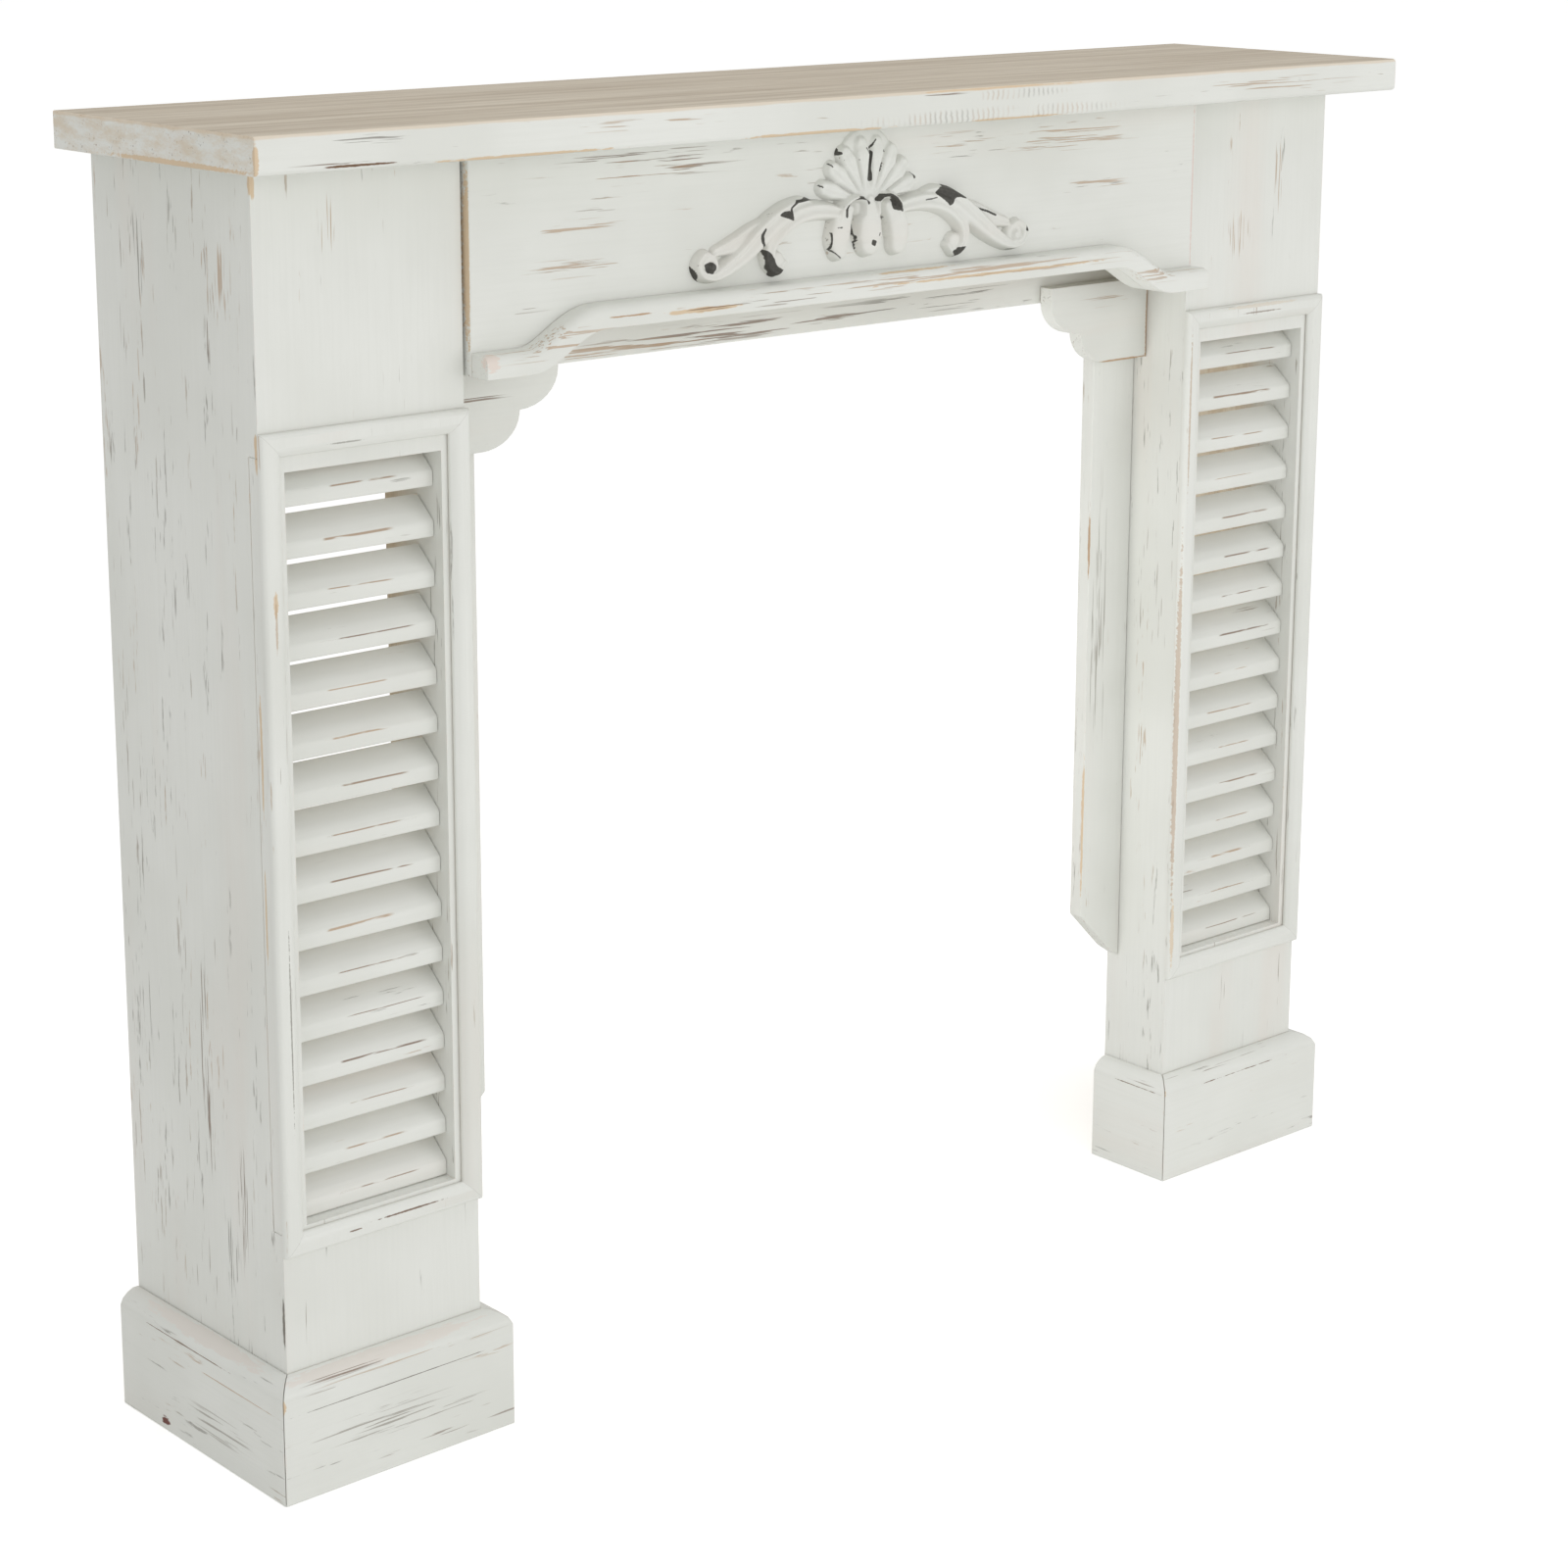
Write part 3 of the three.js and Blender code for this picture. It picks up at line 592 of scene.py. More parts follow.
slat_rack = bpy.data.node_groups.new("slat_rack", "GeometryNodeTree")
interface = slat_rack.interface
interface.new_socket(name="Slat", in_out="INPUT", socket_type="NodeSocketGeometry")
count_socket = interface.new_socket(name="Count", in_out="INPUT", socket_type="NodeSocketInt")
pitch_socket = interface.new_socket(name="Mean Pitch", in_out="INPUT", socket_type="NodeSocketFloat")
taper_socket = interface.new_socket(name="Pitch Taper", in_out="INPUT", socket_type="NodeSocketFloat")
paint_socket = interface.new_socket(name="Paint", in_out="INPUT", socket_type="NodeSocketMaterial")
interface.new_socket(name="Rack", in_out="OUTPUT", socket_type="NodeSocketGeometry")
given = slat_rack.nodes.new("NodeGroupInput").outputs
put = slat_rack.nodes.new("NodeGroupOutput").inputs
place_in_slat = slat_rack.nodes.new("GeometryNodeInputPosition").outputs[0]
marked = wire(
    slat_rack,
    "GeometryNodeStoreNamedAttribute",
    {"Geometry": given["Slat"], "Name": "slat_place", "Value": place_in_slat},
    data_type="FLOAT_VECTOR",
    domain="POINT",
)
row = wire(slat_rack, "GeometryNodeMeshLine", {"Count": given["Count"], "Offset": (0, 0, 0)})
step = slat_rack.nodes.new("GeometryNodeInputIndex").outputs[0]
steps_left = number(slat_rack, "SUBTRACT", given["Count"], 2.0)
share = number(slat_rack, "DIVIDE", number(slat_rack, "SUBTRACT", step, 1.0), steps_left)
bow = number(slat_rack, "MULTIPLY", number(slat_rack, "SUBTRACT", 1.0, share), 0.5)
bow = number(slat_rack, "MULTIPLY", number(slat_rack, "MULTIPLY", bow, step), given["Pitch Taper"])
drop = number(slat_rack, "MULTIPLY_ADD", step, given["Mean Pitch"], bow)
down = wire(slat_rack, "ShaderNodeCombineXYZ", {"Z": number(slat_rack, "MULTIPLY", drop, -1.0)})
placed = wire(
    slat_rack,
    "GeometryNodeSetPosition",
    {"Geometry": row.outputs[0], "Position": down.outputs[0]},
)
copies = wire(
    slat_rack,
    "GeometryNodeInstanceOnPoints",
    {"Points": placed.outputs[0], "Instance": marked.outputs[0]},
)
numbered = wire(
    slat_rack,
    "GeometryNodeStoreNamedAttribute",
    {"Geometry": copies.outputs[0], "Name": "slat_number", "Value": step},
    data_type="FLOAT",
    domain="INSTANCE",
)
real = wire(slat_rack, "GeometryNodeRealizeInstances", {"Geometry": numbered.outputs[0]})
finished = wire(
    slat_rack,
    "GeometryNodeSetMaterial",
    {"Geometry": real.outputs[0], "Material": given["Paint"]},
)
slat_rack.links.new(finished.outputs[0], put["Rack"])


def slat_paint(name, seed, first_low, first_high):
    """Paint with one worn line along each slat's nose, at its own place and length."""
    material = painted_wood(name, ALONG_X, seed, amount=0.1, wear=0.7)
    tree = material.node_tree
    where = stored(tree, "slat_place", "Vector")
    which = stored(tree, "slat_number", "Fac")
    parts = axes(tree, where)
    turn = number(tree, "MULTIPLY_ADD", which, 3.7, seed)
    at_random = wire(tree, "ShaderNodeTexWhiteNoise", {"W": turn}, noise_dimensions="1D").outputs
    pick = wire(tree, "ShaderNodeSeparateColor", {0: at_random["Color"]}).outputs
    length = first_high.x - first_low.x
    spread = NOSE_LINE_SPREAD * length
    first_start = first_low.x + NOSE_LINE_START * length
    last_end = first_high.x - NOSE_LINE_END * length
    start = number(tree, "MULTIPLY_ADD", pick[0], spread, first_start)
    end = number(tree, "MULTIPLY_ADD", pick[1], -spread, last_end)
    after = ramp(tree, number(tree, "SUBTRACT", parts["X"], start), 0.0, 4 * MM)
    before = ramp(tree, number(tree, "SUBTRACT", end, parts["X"]), 0.0, 9 * MM)
    stretched = vector(tree, "MULTIPLY", where, (0.12, 1.0, 1.0))
    wander = noise(tree, stretched, turn, scale=60)
    nose = first_low.z + NOSE_RISE
    wave = number(tree, "MULTIPLY_ADD", wander, NOSE_WANDER, nose - NOSE_WANDER / 2)
    rise = number(tree, "ABSOLUTE", number(tree, "SUBTRACT", parts["Z"], wave))
    width = number(tree, "MULTIPLY_ADD", pick[2], NOSE_LINE_THICKER, NOSE_LINE_THIN)
    line = number(tree, "SUBTRACT", 1.0, ramp(tree, number(tree, "DIVIDE", rise, width), 0.5, 1.3))
    breaks = ramp(tree, noise(tree, stretched, turn, scale=330), 0.36, 0.50)
    line = number(tree, "MULTIPLY", line, number(tree, "MULTIPLY", after, before))
    line = number(tree, "MULTIPLY", line, breaks)
    depth = number(tree, "SUBTRACT", parts["Y"], first_low.y)
    in_front = number(tree, "SUBTRACT", 1.0, ramp(tree, depth, 2 * MM, 4 * MM))
    line = number(tree, "MULTIPLY", line, in_front)
    brown = mixed(tree, pick[1], SPLIT_BROWN, STREAK_TAN)
    painted_over(material, line, brown, NOSE_LINE_COVER)
    return material


for side in ("left", "right"):
    names = SLAT_NODES[side]
    low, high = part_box(names[0])
    paint = slat_paint("slat_paint_" + side, SLAT_SEEDS[side], low, high)
    rack = new_piece("slats_" + side, whole_faces(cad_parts[names[0]].data))
    add_arris(rack, SLAT_ARRIS, segments=3, angle=SLAT_ARRIS_ANGLE)
    plain_mesh(rack, paint).shade_smooth()
    rack.data.set_sharp_from_angle(angle=SLAT_SMOOTH_ANGLE)
    lows = [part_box(name)[0].z for name in names]
    mean_pitch = (lows[0] - lows[-1]) / (len(names) - 1)
    pitch_taper = 2 * (lows[0] - lows[1] - mean_pitch)
    repeat = rack.modifiers.new("rack", "NODES")
    repeat.node_group = slat_rack
    repeat[count_socket.identifier] = len(names)
    repeat[pitch_socket.identifier] = mean_pitch
    repeat[taper_socket.identifier] = pitch_taper
    repeat[paint_socket.identifier] = paint
    plain_mesh(rack, paint)
    settle(rack, names)


# Louvre surrounds: a flat picture-frame moulding, mitred at the corners and pinned over the
# joint between the leg's boards and the louvres. The grain runs along each side of the ring.
SURROUND_ARRIS = 0.8 * MM
MITRE_LINE = 0.5 * MM
MITRE_COVER = 0.16
# Centre, reach, colour and strength of each worn place
SURROUND_WORN = [
    ((-552, -84, 672), (2.5, 4, 11), RUBBED_PINE, 0.9),
    ((-552, -84, 655), (1.2, 4, 26), STREAK_TAN, 0.6),
    ((-550, -84, 360), (0.8, 4, 88), STREAK_GREY, 0.7),
    ((-490, -84, 779), (20, 4, 0.8), STREAK_GREY, 0.6),
    ((-450, -84, 195), (38, 4, 0.9), SPLIT_BROWN, 0.9),
    ((-500, -84, 192.5), (7, 4, 0.8), SPLIT_BROWN, 0.9),
    ((475, -84, 789), (62, 4, 2), RUBBED_PINE, 0.35),
    ((476, -84, 783), (34, 4, 0.9), SPLIT_BROWN, 0.6),
    ((383, -82, 420), (1.8, 5, 200), STREAK_TAN, 0.6),
    ((386, -84, 700), (1.2, 4, 90), STREAK_TAN, 0.6),
    ((384, -84, 230), (2, 4, 40), RUBBED_PINE, 0.7),
]


def follow_ring(mesh, low, high):
    """Stores places turned so that Z runs along each side of a mitred ring."""
    places = np.empty(len(mesh.vertices) * 3)
    mesh.vertices.foreach_get("co", places)
    corner_vertex = np.empty(len(mesh.loops), dtype=int)
    mesh.loops.foreach_get("vertex_index", corner_vertex)
    corners = places.reshape(-1, 3)[corner_vertex]
    face_sizes = np.empty(len(mesh.polygons), dtype=int)
    mesh.polygons.foreach_get("loop_total", face_sizes)
    centres = np.empty(len(mesh.polygons) * 3)
    mesh.polygons.foreach_get("center", centres)
    centres = centres.reshape(-1, 3)
    across = np.minimum(centres[:, 0] - low.x, high.x - centres[:, 0])
    upward = np.minimum(centres[:, 2] - low.z, high.z - centres[:, 2])
    level = np.repeat(upward < across, face_sizes)
    corners[level] = corners[level][:, [2, 1, 0]]
    turned = mesh.attributes.new("grain_place", "FLOAT_VECTOR", "CORNER")
    turned.data.foreach_set("vector", corners.ravel())


surround_paint = painted_wood("surround_paint", ALONG_Z, seed=17.0, amount=0.1, place="grain_place")
tree = surround_paint.node_tree
where = object_place(tree)
ragged = ragged_edge(tree, where, 2.0, scale=330, detail=3.0, swing=1.2)
for centre, reach, shade, strength in SURROUND_WORN:
    patch = worn_patch(tree, where, centre, reach, ragged)
    painted_over(surround_paint, patch, shade, strength)
low, high = surround_box["right"]
parts = axes(tree, where)
aside = number(tree, "ABSOLUTE", parts["X"])
inward = number(tree, "SUBTRACT", aside, low.x)
across = number(tree, "MINIMUM", inward, number(tree, "SUBTRACT", high.x, aside))
lifted = number(tree, "SUBTRACT", parts["Z"], low.z)
upward = number(tree, "MINIMUM", lifted, number(tree, "SUBTRACT", high.z, parts["Z"]))
apart = number(tree, "ABSOLUTE", number(tree, "SUBTRACT", across, upward))
mitre = number(tree, "SUBTRACT", 1.0, ramp(tree, apart, 0.4 * MITRE_LINE, MITRE_LINE))
painted_over(surround_paint, mitre, STREAK_GREY, MITRE_COVER)
for side in ("left", "right"):
    name = "surround_piece_" + side
    node = "louvre_surround_" + side
    ring = softened(name, node, surround_paint, SURROUND_ARRIS)
    follow_ring(ring.data, *surround_box[side])


# Inner frame: a rail over the opening, a stile down each leg and a bracket cut with two lobes in
# each corner, set back from the front.
INNER_ARRIS = 1.0 * MM
BRACKET_ARRIS = 0.8 * MM
RAIL_STREAKED = [
    ((-345, -32, 786), (40, 4, 11), SPLIT_BROWN),
    ((340, -32, 800), (50, 4, 8), STREAK_TAN),
    ((-60, -19, 812), (200, 6, 11), SPLIT_BROWN),
    ((140, -19, 816), (140, 6, 12), STREAK_GREY),
    ((-200, -19, 808), (120, 6, 7), STREAK_TAN),
]
RAIL_WORN = [
    ((382.4, -32.5, 775), (1.5, 3, 50), STREAK_TAN),
    ((350, -32.5, 747), (44, 3, 1.3), STREAK_TAN),
    ((-382.8, -32, 772), (1.1, 3, 38), STREAK_TAN),
]
STILE_WORN = [
    ((332.5, -19, 580), (0.9, 3, 40), STREAK_TAN),
    ((332.5, -19, 330), (1.0, 3, 90), RUBBED_PINE),
]
STILE_STREAKED = [((345, -19, 500), (14, 4, 160), HAIRLINE)]
rail_paint = painted_wood(
    "rail_paint", ALONG_X, seed=21.0, amount=0.25, worn=RAIL_WORN, streaked=RAIL_STREAKED
)
stile_paint = painted_wood(
    "stile_paint", ALONG_Z, seed=24.0, amount=0.35, worn=STILE_WORN, streaked=STILE_STREAKED
)
softened("lintel_rail_piece", "lintel_rail", rail_paint, INNER_ARRIS)
for side in ("left", "right"):
    node = "inner_stile_" + side
    softened("stile_piece_" + side, node, stile_paint, INNER_ARRIS)
    node = "bracket_" + side
    softened("bracket_piece_" + side, node, rail_paint, BRACKET_ARRIS)


# Frieze: a wide pine board between the legs with its lower edge cut to an ogee at each end, and
# a moulding bent along that edge, rubbed down to the pine on its lower arris. The board has
# shrunk, which leaves a dark gap at its left end, while filler shows pink at the right one.
FRIEZE_ARRIS = 1.0 * MM
MOULDING_ARRIS = 0.8 * MM
SHRINKAGE = 2.2 * MM
END_REACH = 3 * MM          # what lies this near to the board's left end moves with it
PINK_FILLER = srgb(224, 209, 202)
FRIEZE_WORN = [
    ((-381.2, -83, 900), (0.7, 14, 90), RUBBED_PINE),
    ((380.5, -83, 895), (1.3, 5, 100), PINK_FILLER),
]
FRIEZE_STREAKED = [
    ((-222, -83, 956), (110, 5, 17), SPLIT_BROWN),
    ((-240, -83, 951), (90, 5, 12), STREAK_TAN),
    ((-288, -83, 914), (50, 5, 7), STREAK_TAN),
    ((-285, -83, 884), (60, 5, 9), STREAK_TAN),
    ((-62, -83, 960), (54, 5, 8), SPLIT_BROWN),
    ((112, -83, 952), (70, 5, 12), STREAK_TAN),
    ((120, -83, 944), (50, 5, 8), STREAK_GREY),
    ((256, -83, 908), (50, 5, 8), STREAK_TAN),
    ((220, -83, 950), (110, 5, 16), STREAK_TAN),
]
frieze_paint = painted_wood(
    "frieze_paint", ALONG_X, seed=27.0, amount=0.3, worn=FRIEZE_WORN, streaked=FRIEZE_STREAKED
)
MOULDING_WORN = [
    ((-376, -100, 826), (8, 8, 11), THIN_WASH),
    ((130, -103, 848), (150, 6, 1.5), RUBBED_PINE),
    ((-180, -103, 846), (46, 5, 2.5), RUBBED_PINE),
    ((40, -100, 857), (60, 6, 1.0), RUBBED_PINE),
    ((-250, -100, 848), (30, 6, 1.2), STREAK_TAN),
]
MOULDING_STREAKED = [
    ((-310, -98, 832), (80, 14, 20), STREAK_TAN),
    ((-120, -103, 848), (120, 8, 7), SPLIT_BROWN),
    ((60, -101, 850), (300, 10, 8), STREAK_TAN),
    ((330, -98, 832), (60, 14, 12), STREAK_TAN),
]
moulding_paint = painted_wood(
    "moulding_paint",
    ALONG_X,
    seed=29.0,
    amount=0.2,
    wear=1.4,
    worn=MOULDING_WORN,
    streaked=MOULDING_STREAKED,
)
frieze = softened("frieze_board_piece", "frieze_board", frieze_paint, FRIEZE_ARRIS)
moulding = softened(
    "frieze_moulding_piece", "frieze_moulding", moulding_paint, MOULDING_ARRIS
)
board_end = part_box("frieze_board")[0].x
for piece in (frieze, moulding):
    for vert in piece.data.vertices:
        if vert.co.x < board_end + END_REACH:
            vert.co.x += SHRINKAGE


# Ornament: a carved scroll piece with a palmette, glued on the frieze. It was brushed white over
# a dark coat, which shows where the white has come off in chips. Grey painted shade is laid into
# its hollow places, and most of its faint lines are painted shade in the dark coat's colour. Its
# tables hold places across and up from the middle of its foot, in units of about 1 mm, for the right
# half.
CARVING_CELL = 0.75
CARVING_REACH = 180         # the grid that the carving is raised on, to each side
CARVING_BOTTOM = -1
CARVING_TOP = 109
CARVING_LOW = 1.2
CARVING_HIGH = 106.3
CARVING_RELIEF = 12
CARVING_STEEPNESS = 3.2
CARVING_SUNK = 0.9
BAND_SQUARENESS = 3.3       # a band's section is 1 less its share of the half width, to these powers
BAND_FULLNESS = 0.35
BAND_MARGIN = 2
BAND_SAMPLES = 30
CARVING_RIM = -0.3          # faces that lie wholly under this height are left out
# Painted shade in the hollow places of the carving: how often the field round it is softened, the depth
# where the grey begins, the depth over which it grows, and its strength
HOLLOW_ROUNDS = 6
HOLLOW_LEAST = 0.25
HOLLOW_RANGE = 1.2
HOLLOW_SHADE_COVER = 0.28
# Strength of the faint lines, most of which are painted shade
FAINT = 0.72
DARK_COAT = srgb(52, 52, 50)
DUSTY_COAT = srgb(96, 94, 88)
SCROLL_PLACES = {
    "outer": [
        (54, 52, 8, 5), (70, 54, 15, 8), (86, 50, 18, 10), (100, 43, 19, 10), (114, 33, 20, 10),
        (129, 22, 18, 10), (144, 13, 15, 9), (158, 7, 11, 9), (170, 9, 10, 9), (174, 17, 9, 8),
        (167, 24, 8, 7), (158, 21, 6, 6),
    ],
    "leaf": [(106, 45, 8, 5), (122, 37, 13, 6), (139, 29, 14, 6), (155, 25, 9, 5)],
    "inner": [
        (22, 43, 10, 8), (42, 48, 15, 10), (62, 49, 17, 10), (80, 45, 17, 10), (94, 36, 15, 10),
        (103, 25, 14, 9), (103, 13, 12, 9), (95, 6, 10, 8), (87, 12, 7, 7),
    ],
}
PLAIN_PLACES = {
    "hook": [(32, 40, 8, 9), (29, 51, 9, 11), (19, 57, 9, 12), (8, 54, 8, 12), (7, 43, 8, 11)],
    "side lobe": [(21, 48, 12, 7), (29, 37, 23, 9), (32, 25, 24, 9), (31, 17, 19, 8)],
    "middle lobe": [(0, 54, 12, 8), (0, 38, 26, 10), (0, 25, 29, 10), (0, 20, 23, 9)],
    "dome": [(0, 58, 40, 3), (0, 66, 66, 4), (0, 74, 72, 4), (0, 80, 62, 4)],
    "large eye": [(162, 14, 20, 6), (162, 15, 20, 6)],
    "small eye": [(162, 14, 11, 9), (162, 15, 11, 9)],
    "inner eye": [(95, 12, 18, 6), (95, 13, 18, 6)],
    "boss": [(0, 52, 30, 6), (0, 53, 30, 6)],
}
PALMETTE_ROOT = (3, 52)
PALMETTE_TIPS = [(9, 105, 17), (28, 97, 17), (42, 84, 17), (53, 68, 16)]
LEAF_SHAPE = [(0, 0.2, 0.7), (0.4, 0.56, 0.9), (0.72, 1, 1), (0.86, 0.86, 0.8)]
LEAF_HEIGHT = 8

# Chips and dark lines, over the whole width, as outlines and as lines with a thickness
CHIPS = [
    [(-169, 17), (-163, 19), (-158, 14), (-161, 9), (-168, 10)],
    [(-111, 25), (-104, 21), (-98, 11), (-91, 7), (-83, 6), (-87, -1), (-99, 0), (-107, 9)],
    [(-97, 49), (-92, 52), (-85, 52), (-80, 43), (-87, 45)],
    [(21, 56), (29, 50), (32, 43), (23, 45)],
    [
        (69, 54), (74, 59), (79, 59), (84, 63), (92, 59), (100, 54), (106, 49), (102, 48),
        (94, 50), (90, 48), (85, 43), (79, 48), (74, 51),
    ],
    [(90, 6), (95, 1), (103, 0), (110, 5), (105, 10), (96, 10)],
    [(-1, 24), (5, 22), (4, 17), (-1, 19)],
]
DARK_LINES = [
    (1.3, [(-181, 18), (-177, 11), (-173, 4), (-168, 1)]),
    (2.0, [(-112, 26), (-114, 30), (-113, 35), (-110, 39)]),
    (1.8, [(-84, 49), (-83, 54), (-77, 58), (-65, 59), (-49, 58)]),
    (2.0, [(-26, 43), (-25, 49), (-21, 54), (-14, 57), (-7, 56), (-3, 52)]),
    (2.0, [(6, 54), (10, 57), (18, 57), (24, 54), (29, 49), (32, 44)]),
    (3.0, [(0, 91), (0, 80), (1, 70)]),
    (1.8, [(-32, 91), (-30, 92)]),
    (2.6, [(48, 71), (48, 69)]),
    (1.2, [(119, 39), (130, 36), (140, 32)]),
    (2.2, [(175, 24), (175, 18)]),
]
# Faint lines: most lie in grooves and along outlines, where they are painted shade in the dark coat's
# colour
FAINT_LINES = [
    (1.2, [(6, 101), (0, 94), (-2, 90), (-5, 95)]),
    (1.2, [(-30, 98), (-31, 93)]),
    (1.4, [(-41, 84), (-39, 82)]),
    (1.4, [(-51, 68), (-49, 67)]),
    (1.6, [(14, 95), (16, 91)]),
    (1.2, [(13, 82), (11, 76)]),
    (1.2, [(59, 50), (70, 51)]),
    (1.2, [(178, 14), (175, 6), (168, 3), (154, 3)]),
    (1.3, [(18, 39), (17, 27), (18, 16)]),
    (1.2, [(-14, 41), (-14, 29), (-11, 16)]),
    (1.1, [(-41, 31), (-41, 18), (-32, 11)]),
    (1.2, [(8, 28), (7, 26)]),
    (1.2, [(-36, 35), (-32, 35)]),
]

across_places = np.arange(-CARVING_REACH, CARVING_REACH + CARVING_CELL, CARVING_CELL)
up_places = np.arange(CARVING_BOTTOM, CARVING_TOP + CARVING_CELL, CARVING_CELL)
grid_across, grid_up = np.meshgrid(across_places, up_places)
carving = np.full(grid_across.shape, -CARVING_SUNK)


def smooth_line(places, samples):
    """Points along a smooth curve through places, with width and height between theirs."""
    points = np.array(places, dtype=float)
    before = 2 * points[0] - points[1]
    after = 2 * points[-1] - points[-2]
    padded = np.vstack([before, points, after])
    along = np.linspace(0, len(points) - 1, samples)
    first = np.minimum(along.astype(int), len(points) - 2)
    t = (along - first)[:, None]
    a, b, c, d = (padded[first + i] for i in range(4))
    cubic = (3 * b - a - 3 * c + d) * t ** 3
    square = (2 * a - 5 * b + 4 * c - d) * t ** 2
    line = (2 * b + (c - a) * t + square + cubic) / 2
    line[:, 2:] = b[:, 2:] * (1 - t) + c[:, 2:] * t
    return line


def raise_band(places, groove=0.0, groove_at=0.0, groove_width=0.25):
    """Raises a band of the carving on the grid. A groove runs along it at a share of its width."""
    line = smooth_line(places, BAND_SAMPLES * len(places))
    margin = line[:, 2].max() / 2 + BAND_MARGIN
    near = (
        (grid_across > line[:, 0].min() - margin) & (grid_across < line[:, 0].max() + margin)
        & (grid_up > line[:, 1].min() - margin) & (grid_up < line[:, 1].max() + margin)
    )
    x, z = grid_across[near], grid_up[near]
    spans = np.hypot(x[:, None] - line[:, 0], z[:, None] - line[:, 1])
    closest = spans.argmin(axis=1)
    span = spans[np.arange(len(x)), closest]
    half = line[closest, 2] / 2
    ahead = np.gradient(line[:, :2], axis=0)
    ahead /= np.hypot(ahead[:, 0], ahead[:, 1])[:, None]
    ahead = ahead[closest]
    aside = ahead[:, 0] * (z - line[closest, 1]) - ahead[:, 1] * (x - line[closest, 0])
    share = np.clip(span / half, 0, 1)
    top = line[closest, 3] * (1 - share ** BAND_SQUARENESS) ** BAND_FULLNESS
    top *= 1 - groove * np.exp(-(((aside / half - groove_at) / groove_width) ** 2))
    height = np.minimum(top, CARVING_STEEPNESS * (half - span))
    carving[near] = np.maximum(carving[near], height)


for places in SCROLL_PLACES.values():
    raise_band(places, groove=0.22, groove_at=0.15, groove_width=0.3)
for places in PLAIN_PLACES.values():
    raise_band(places)
root_x, root_z = PALMETTE_ROOT
for tip_x, tip_z, tip_width in PALMETTE_TIPS:
    leaf = [
        (
            root_x + (tip_x - root_x) * along,
            root_z + (tip_z - root_z) * along,
            tip_width * wide,
            LEAF_HEIGHT * tall,
        )
        for along, wide, tall in LEAF_SHAPE
    ]
    raise_band(leaf, groove=0.12, groove_width=0.2)
carving = np.maximum(carving, carving[:, ::-1])


def softer(field):
    """Field averaged with its neighbours, as brushed paint rounds a carving."""
    wide = np.pad(field, 1, mode="edge")
    rows = (wide[:-2] + 2 * wide[1:-1] + wide[2:]) / 4
    return (rows[:, :-2] + 2 * rows[:, 1:-1] + rows[:, 2:]) / 4


carving = softer(carving)
# Painted shade: grey where the carving lies lower than the softened field round it
around = carving
for _ in range(HOLLOW_ROUNDS):
    around = softer(around)
hollow_shade = np.clip((around - carving - HOLLOW_LEAST) / HOLLOW_RANGE, 0, 1)


def filled(outline):
    """Which grid points lie inside an outline."""
    inside = np.zeros(grid_across.shape, dtype=bool)
    for (x0, z0), (x1, z1) in zip(outline, outline[1:] + outline[:1]):
        if z0 == z1:
            continue
        crossing = x0 + (grid_up - z0) * (x1 - x0) / (z1 - z0)
        inside ^= ((grid_up > min(z0, z1)) & (grid_up <= max(z0, z1))) & (grid_across < crossing)
    return inside


dark = np.zeros(grid_across.shape)
for outline in CHIPS:
    dark = np.maximum(dark, filled(outline))
dark = softer(softer(dark))
marks = [(1.0, *line) for line in DARK_LINES] + [(FAINT, *line) for line in FAINT_LINES]
for strength, thickness, points in marks:
    for (x0, z0), (x1, z1) in zip(points, points[1:]):
        length = math.hypot(x1 - x0, z1 - z0)
        along = ((grid_across - x0) * (x1 - x0) + (grid_up - z0) * (z1 - z0)) / length ** 2
        along = np.clip(along, 0, 1)
        gap_x = grid_across - x0 - along * (x1 - x0)
        gap_z = grid_up - z0 - along * (z1 - z0)
        span = np.hypot(gap_x, gap_z)
        covered = np.clip(1 - (span - thickness / 2) / CARVING_CELL, 0, 1)
        dark = np.maximum(dark, strength * covered)

low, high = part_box("frieze_ornament")
board_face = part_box("frieze_board")[0].y
unit = (high.z - low.z) / (CARVING_HIGH - CARVING_LOW)
relief = (board_face - low.y) / CARVING_RELIEF
rows, columns = carving.shape
kept = np.maximum(
    np.maximum(carving[:-1, :-1], carving[1:, :-1]),
    np.maximum(carving[:-1, 1:], carving[1:, 1:]),
) > CARVING_RIM
row, column = np.nonzero(kept)
corner = row * columns + column
faces = np.stack([corner, corner + 1, corner + columns + 1, corner + columns], axis=1)
used, faces = np.unique(faces, return_inverse=True)
faces = faces.reshape(-1, 4)
places = np.stack([
    grid_across.ravel() * unit,
    board_face - carving.ravel() * relief,
    low.z + (grid_up.ravel() - CARVING_LOW) * unit,
], axis=1)[used]
carved_mesh = bpy.data.meshes.new("ornament_piece")
carved_mesh.from_pydata(places.tolist(), [], faces.tolist())
for title, field in (("dark", dark), ("hollow", hollow_shade)):
    layer = carved_mesh.attributes.new(title, "FLOAT", "POINT")
    layer.data.foreach_set("value", field.ravel()[used].astype(np.float32))
carved_mesh.shade_smooth()
carved = in_scene("ornament_piece", carved_mesh)

ornament_paint = painted_wood("ornament_paint", ALONG_X, seed=35.0, amount=0.0, wear=0.0)
tree = ornament_paint.node_tree
where = object_place(tree)
# Painted shade, grey, in the hollow places of the carving
painted_over(ornament_paint, stored(tree, "hollow", "Fac"), STREAK_GREY, HOLLOW_SHADE_COVER)
ragged = ragged_edge(tree, where, 6.0, scale=420, detail=4.0, swing=0.44)
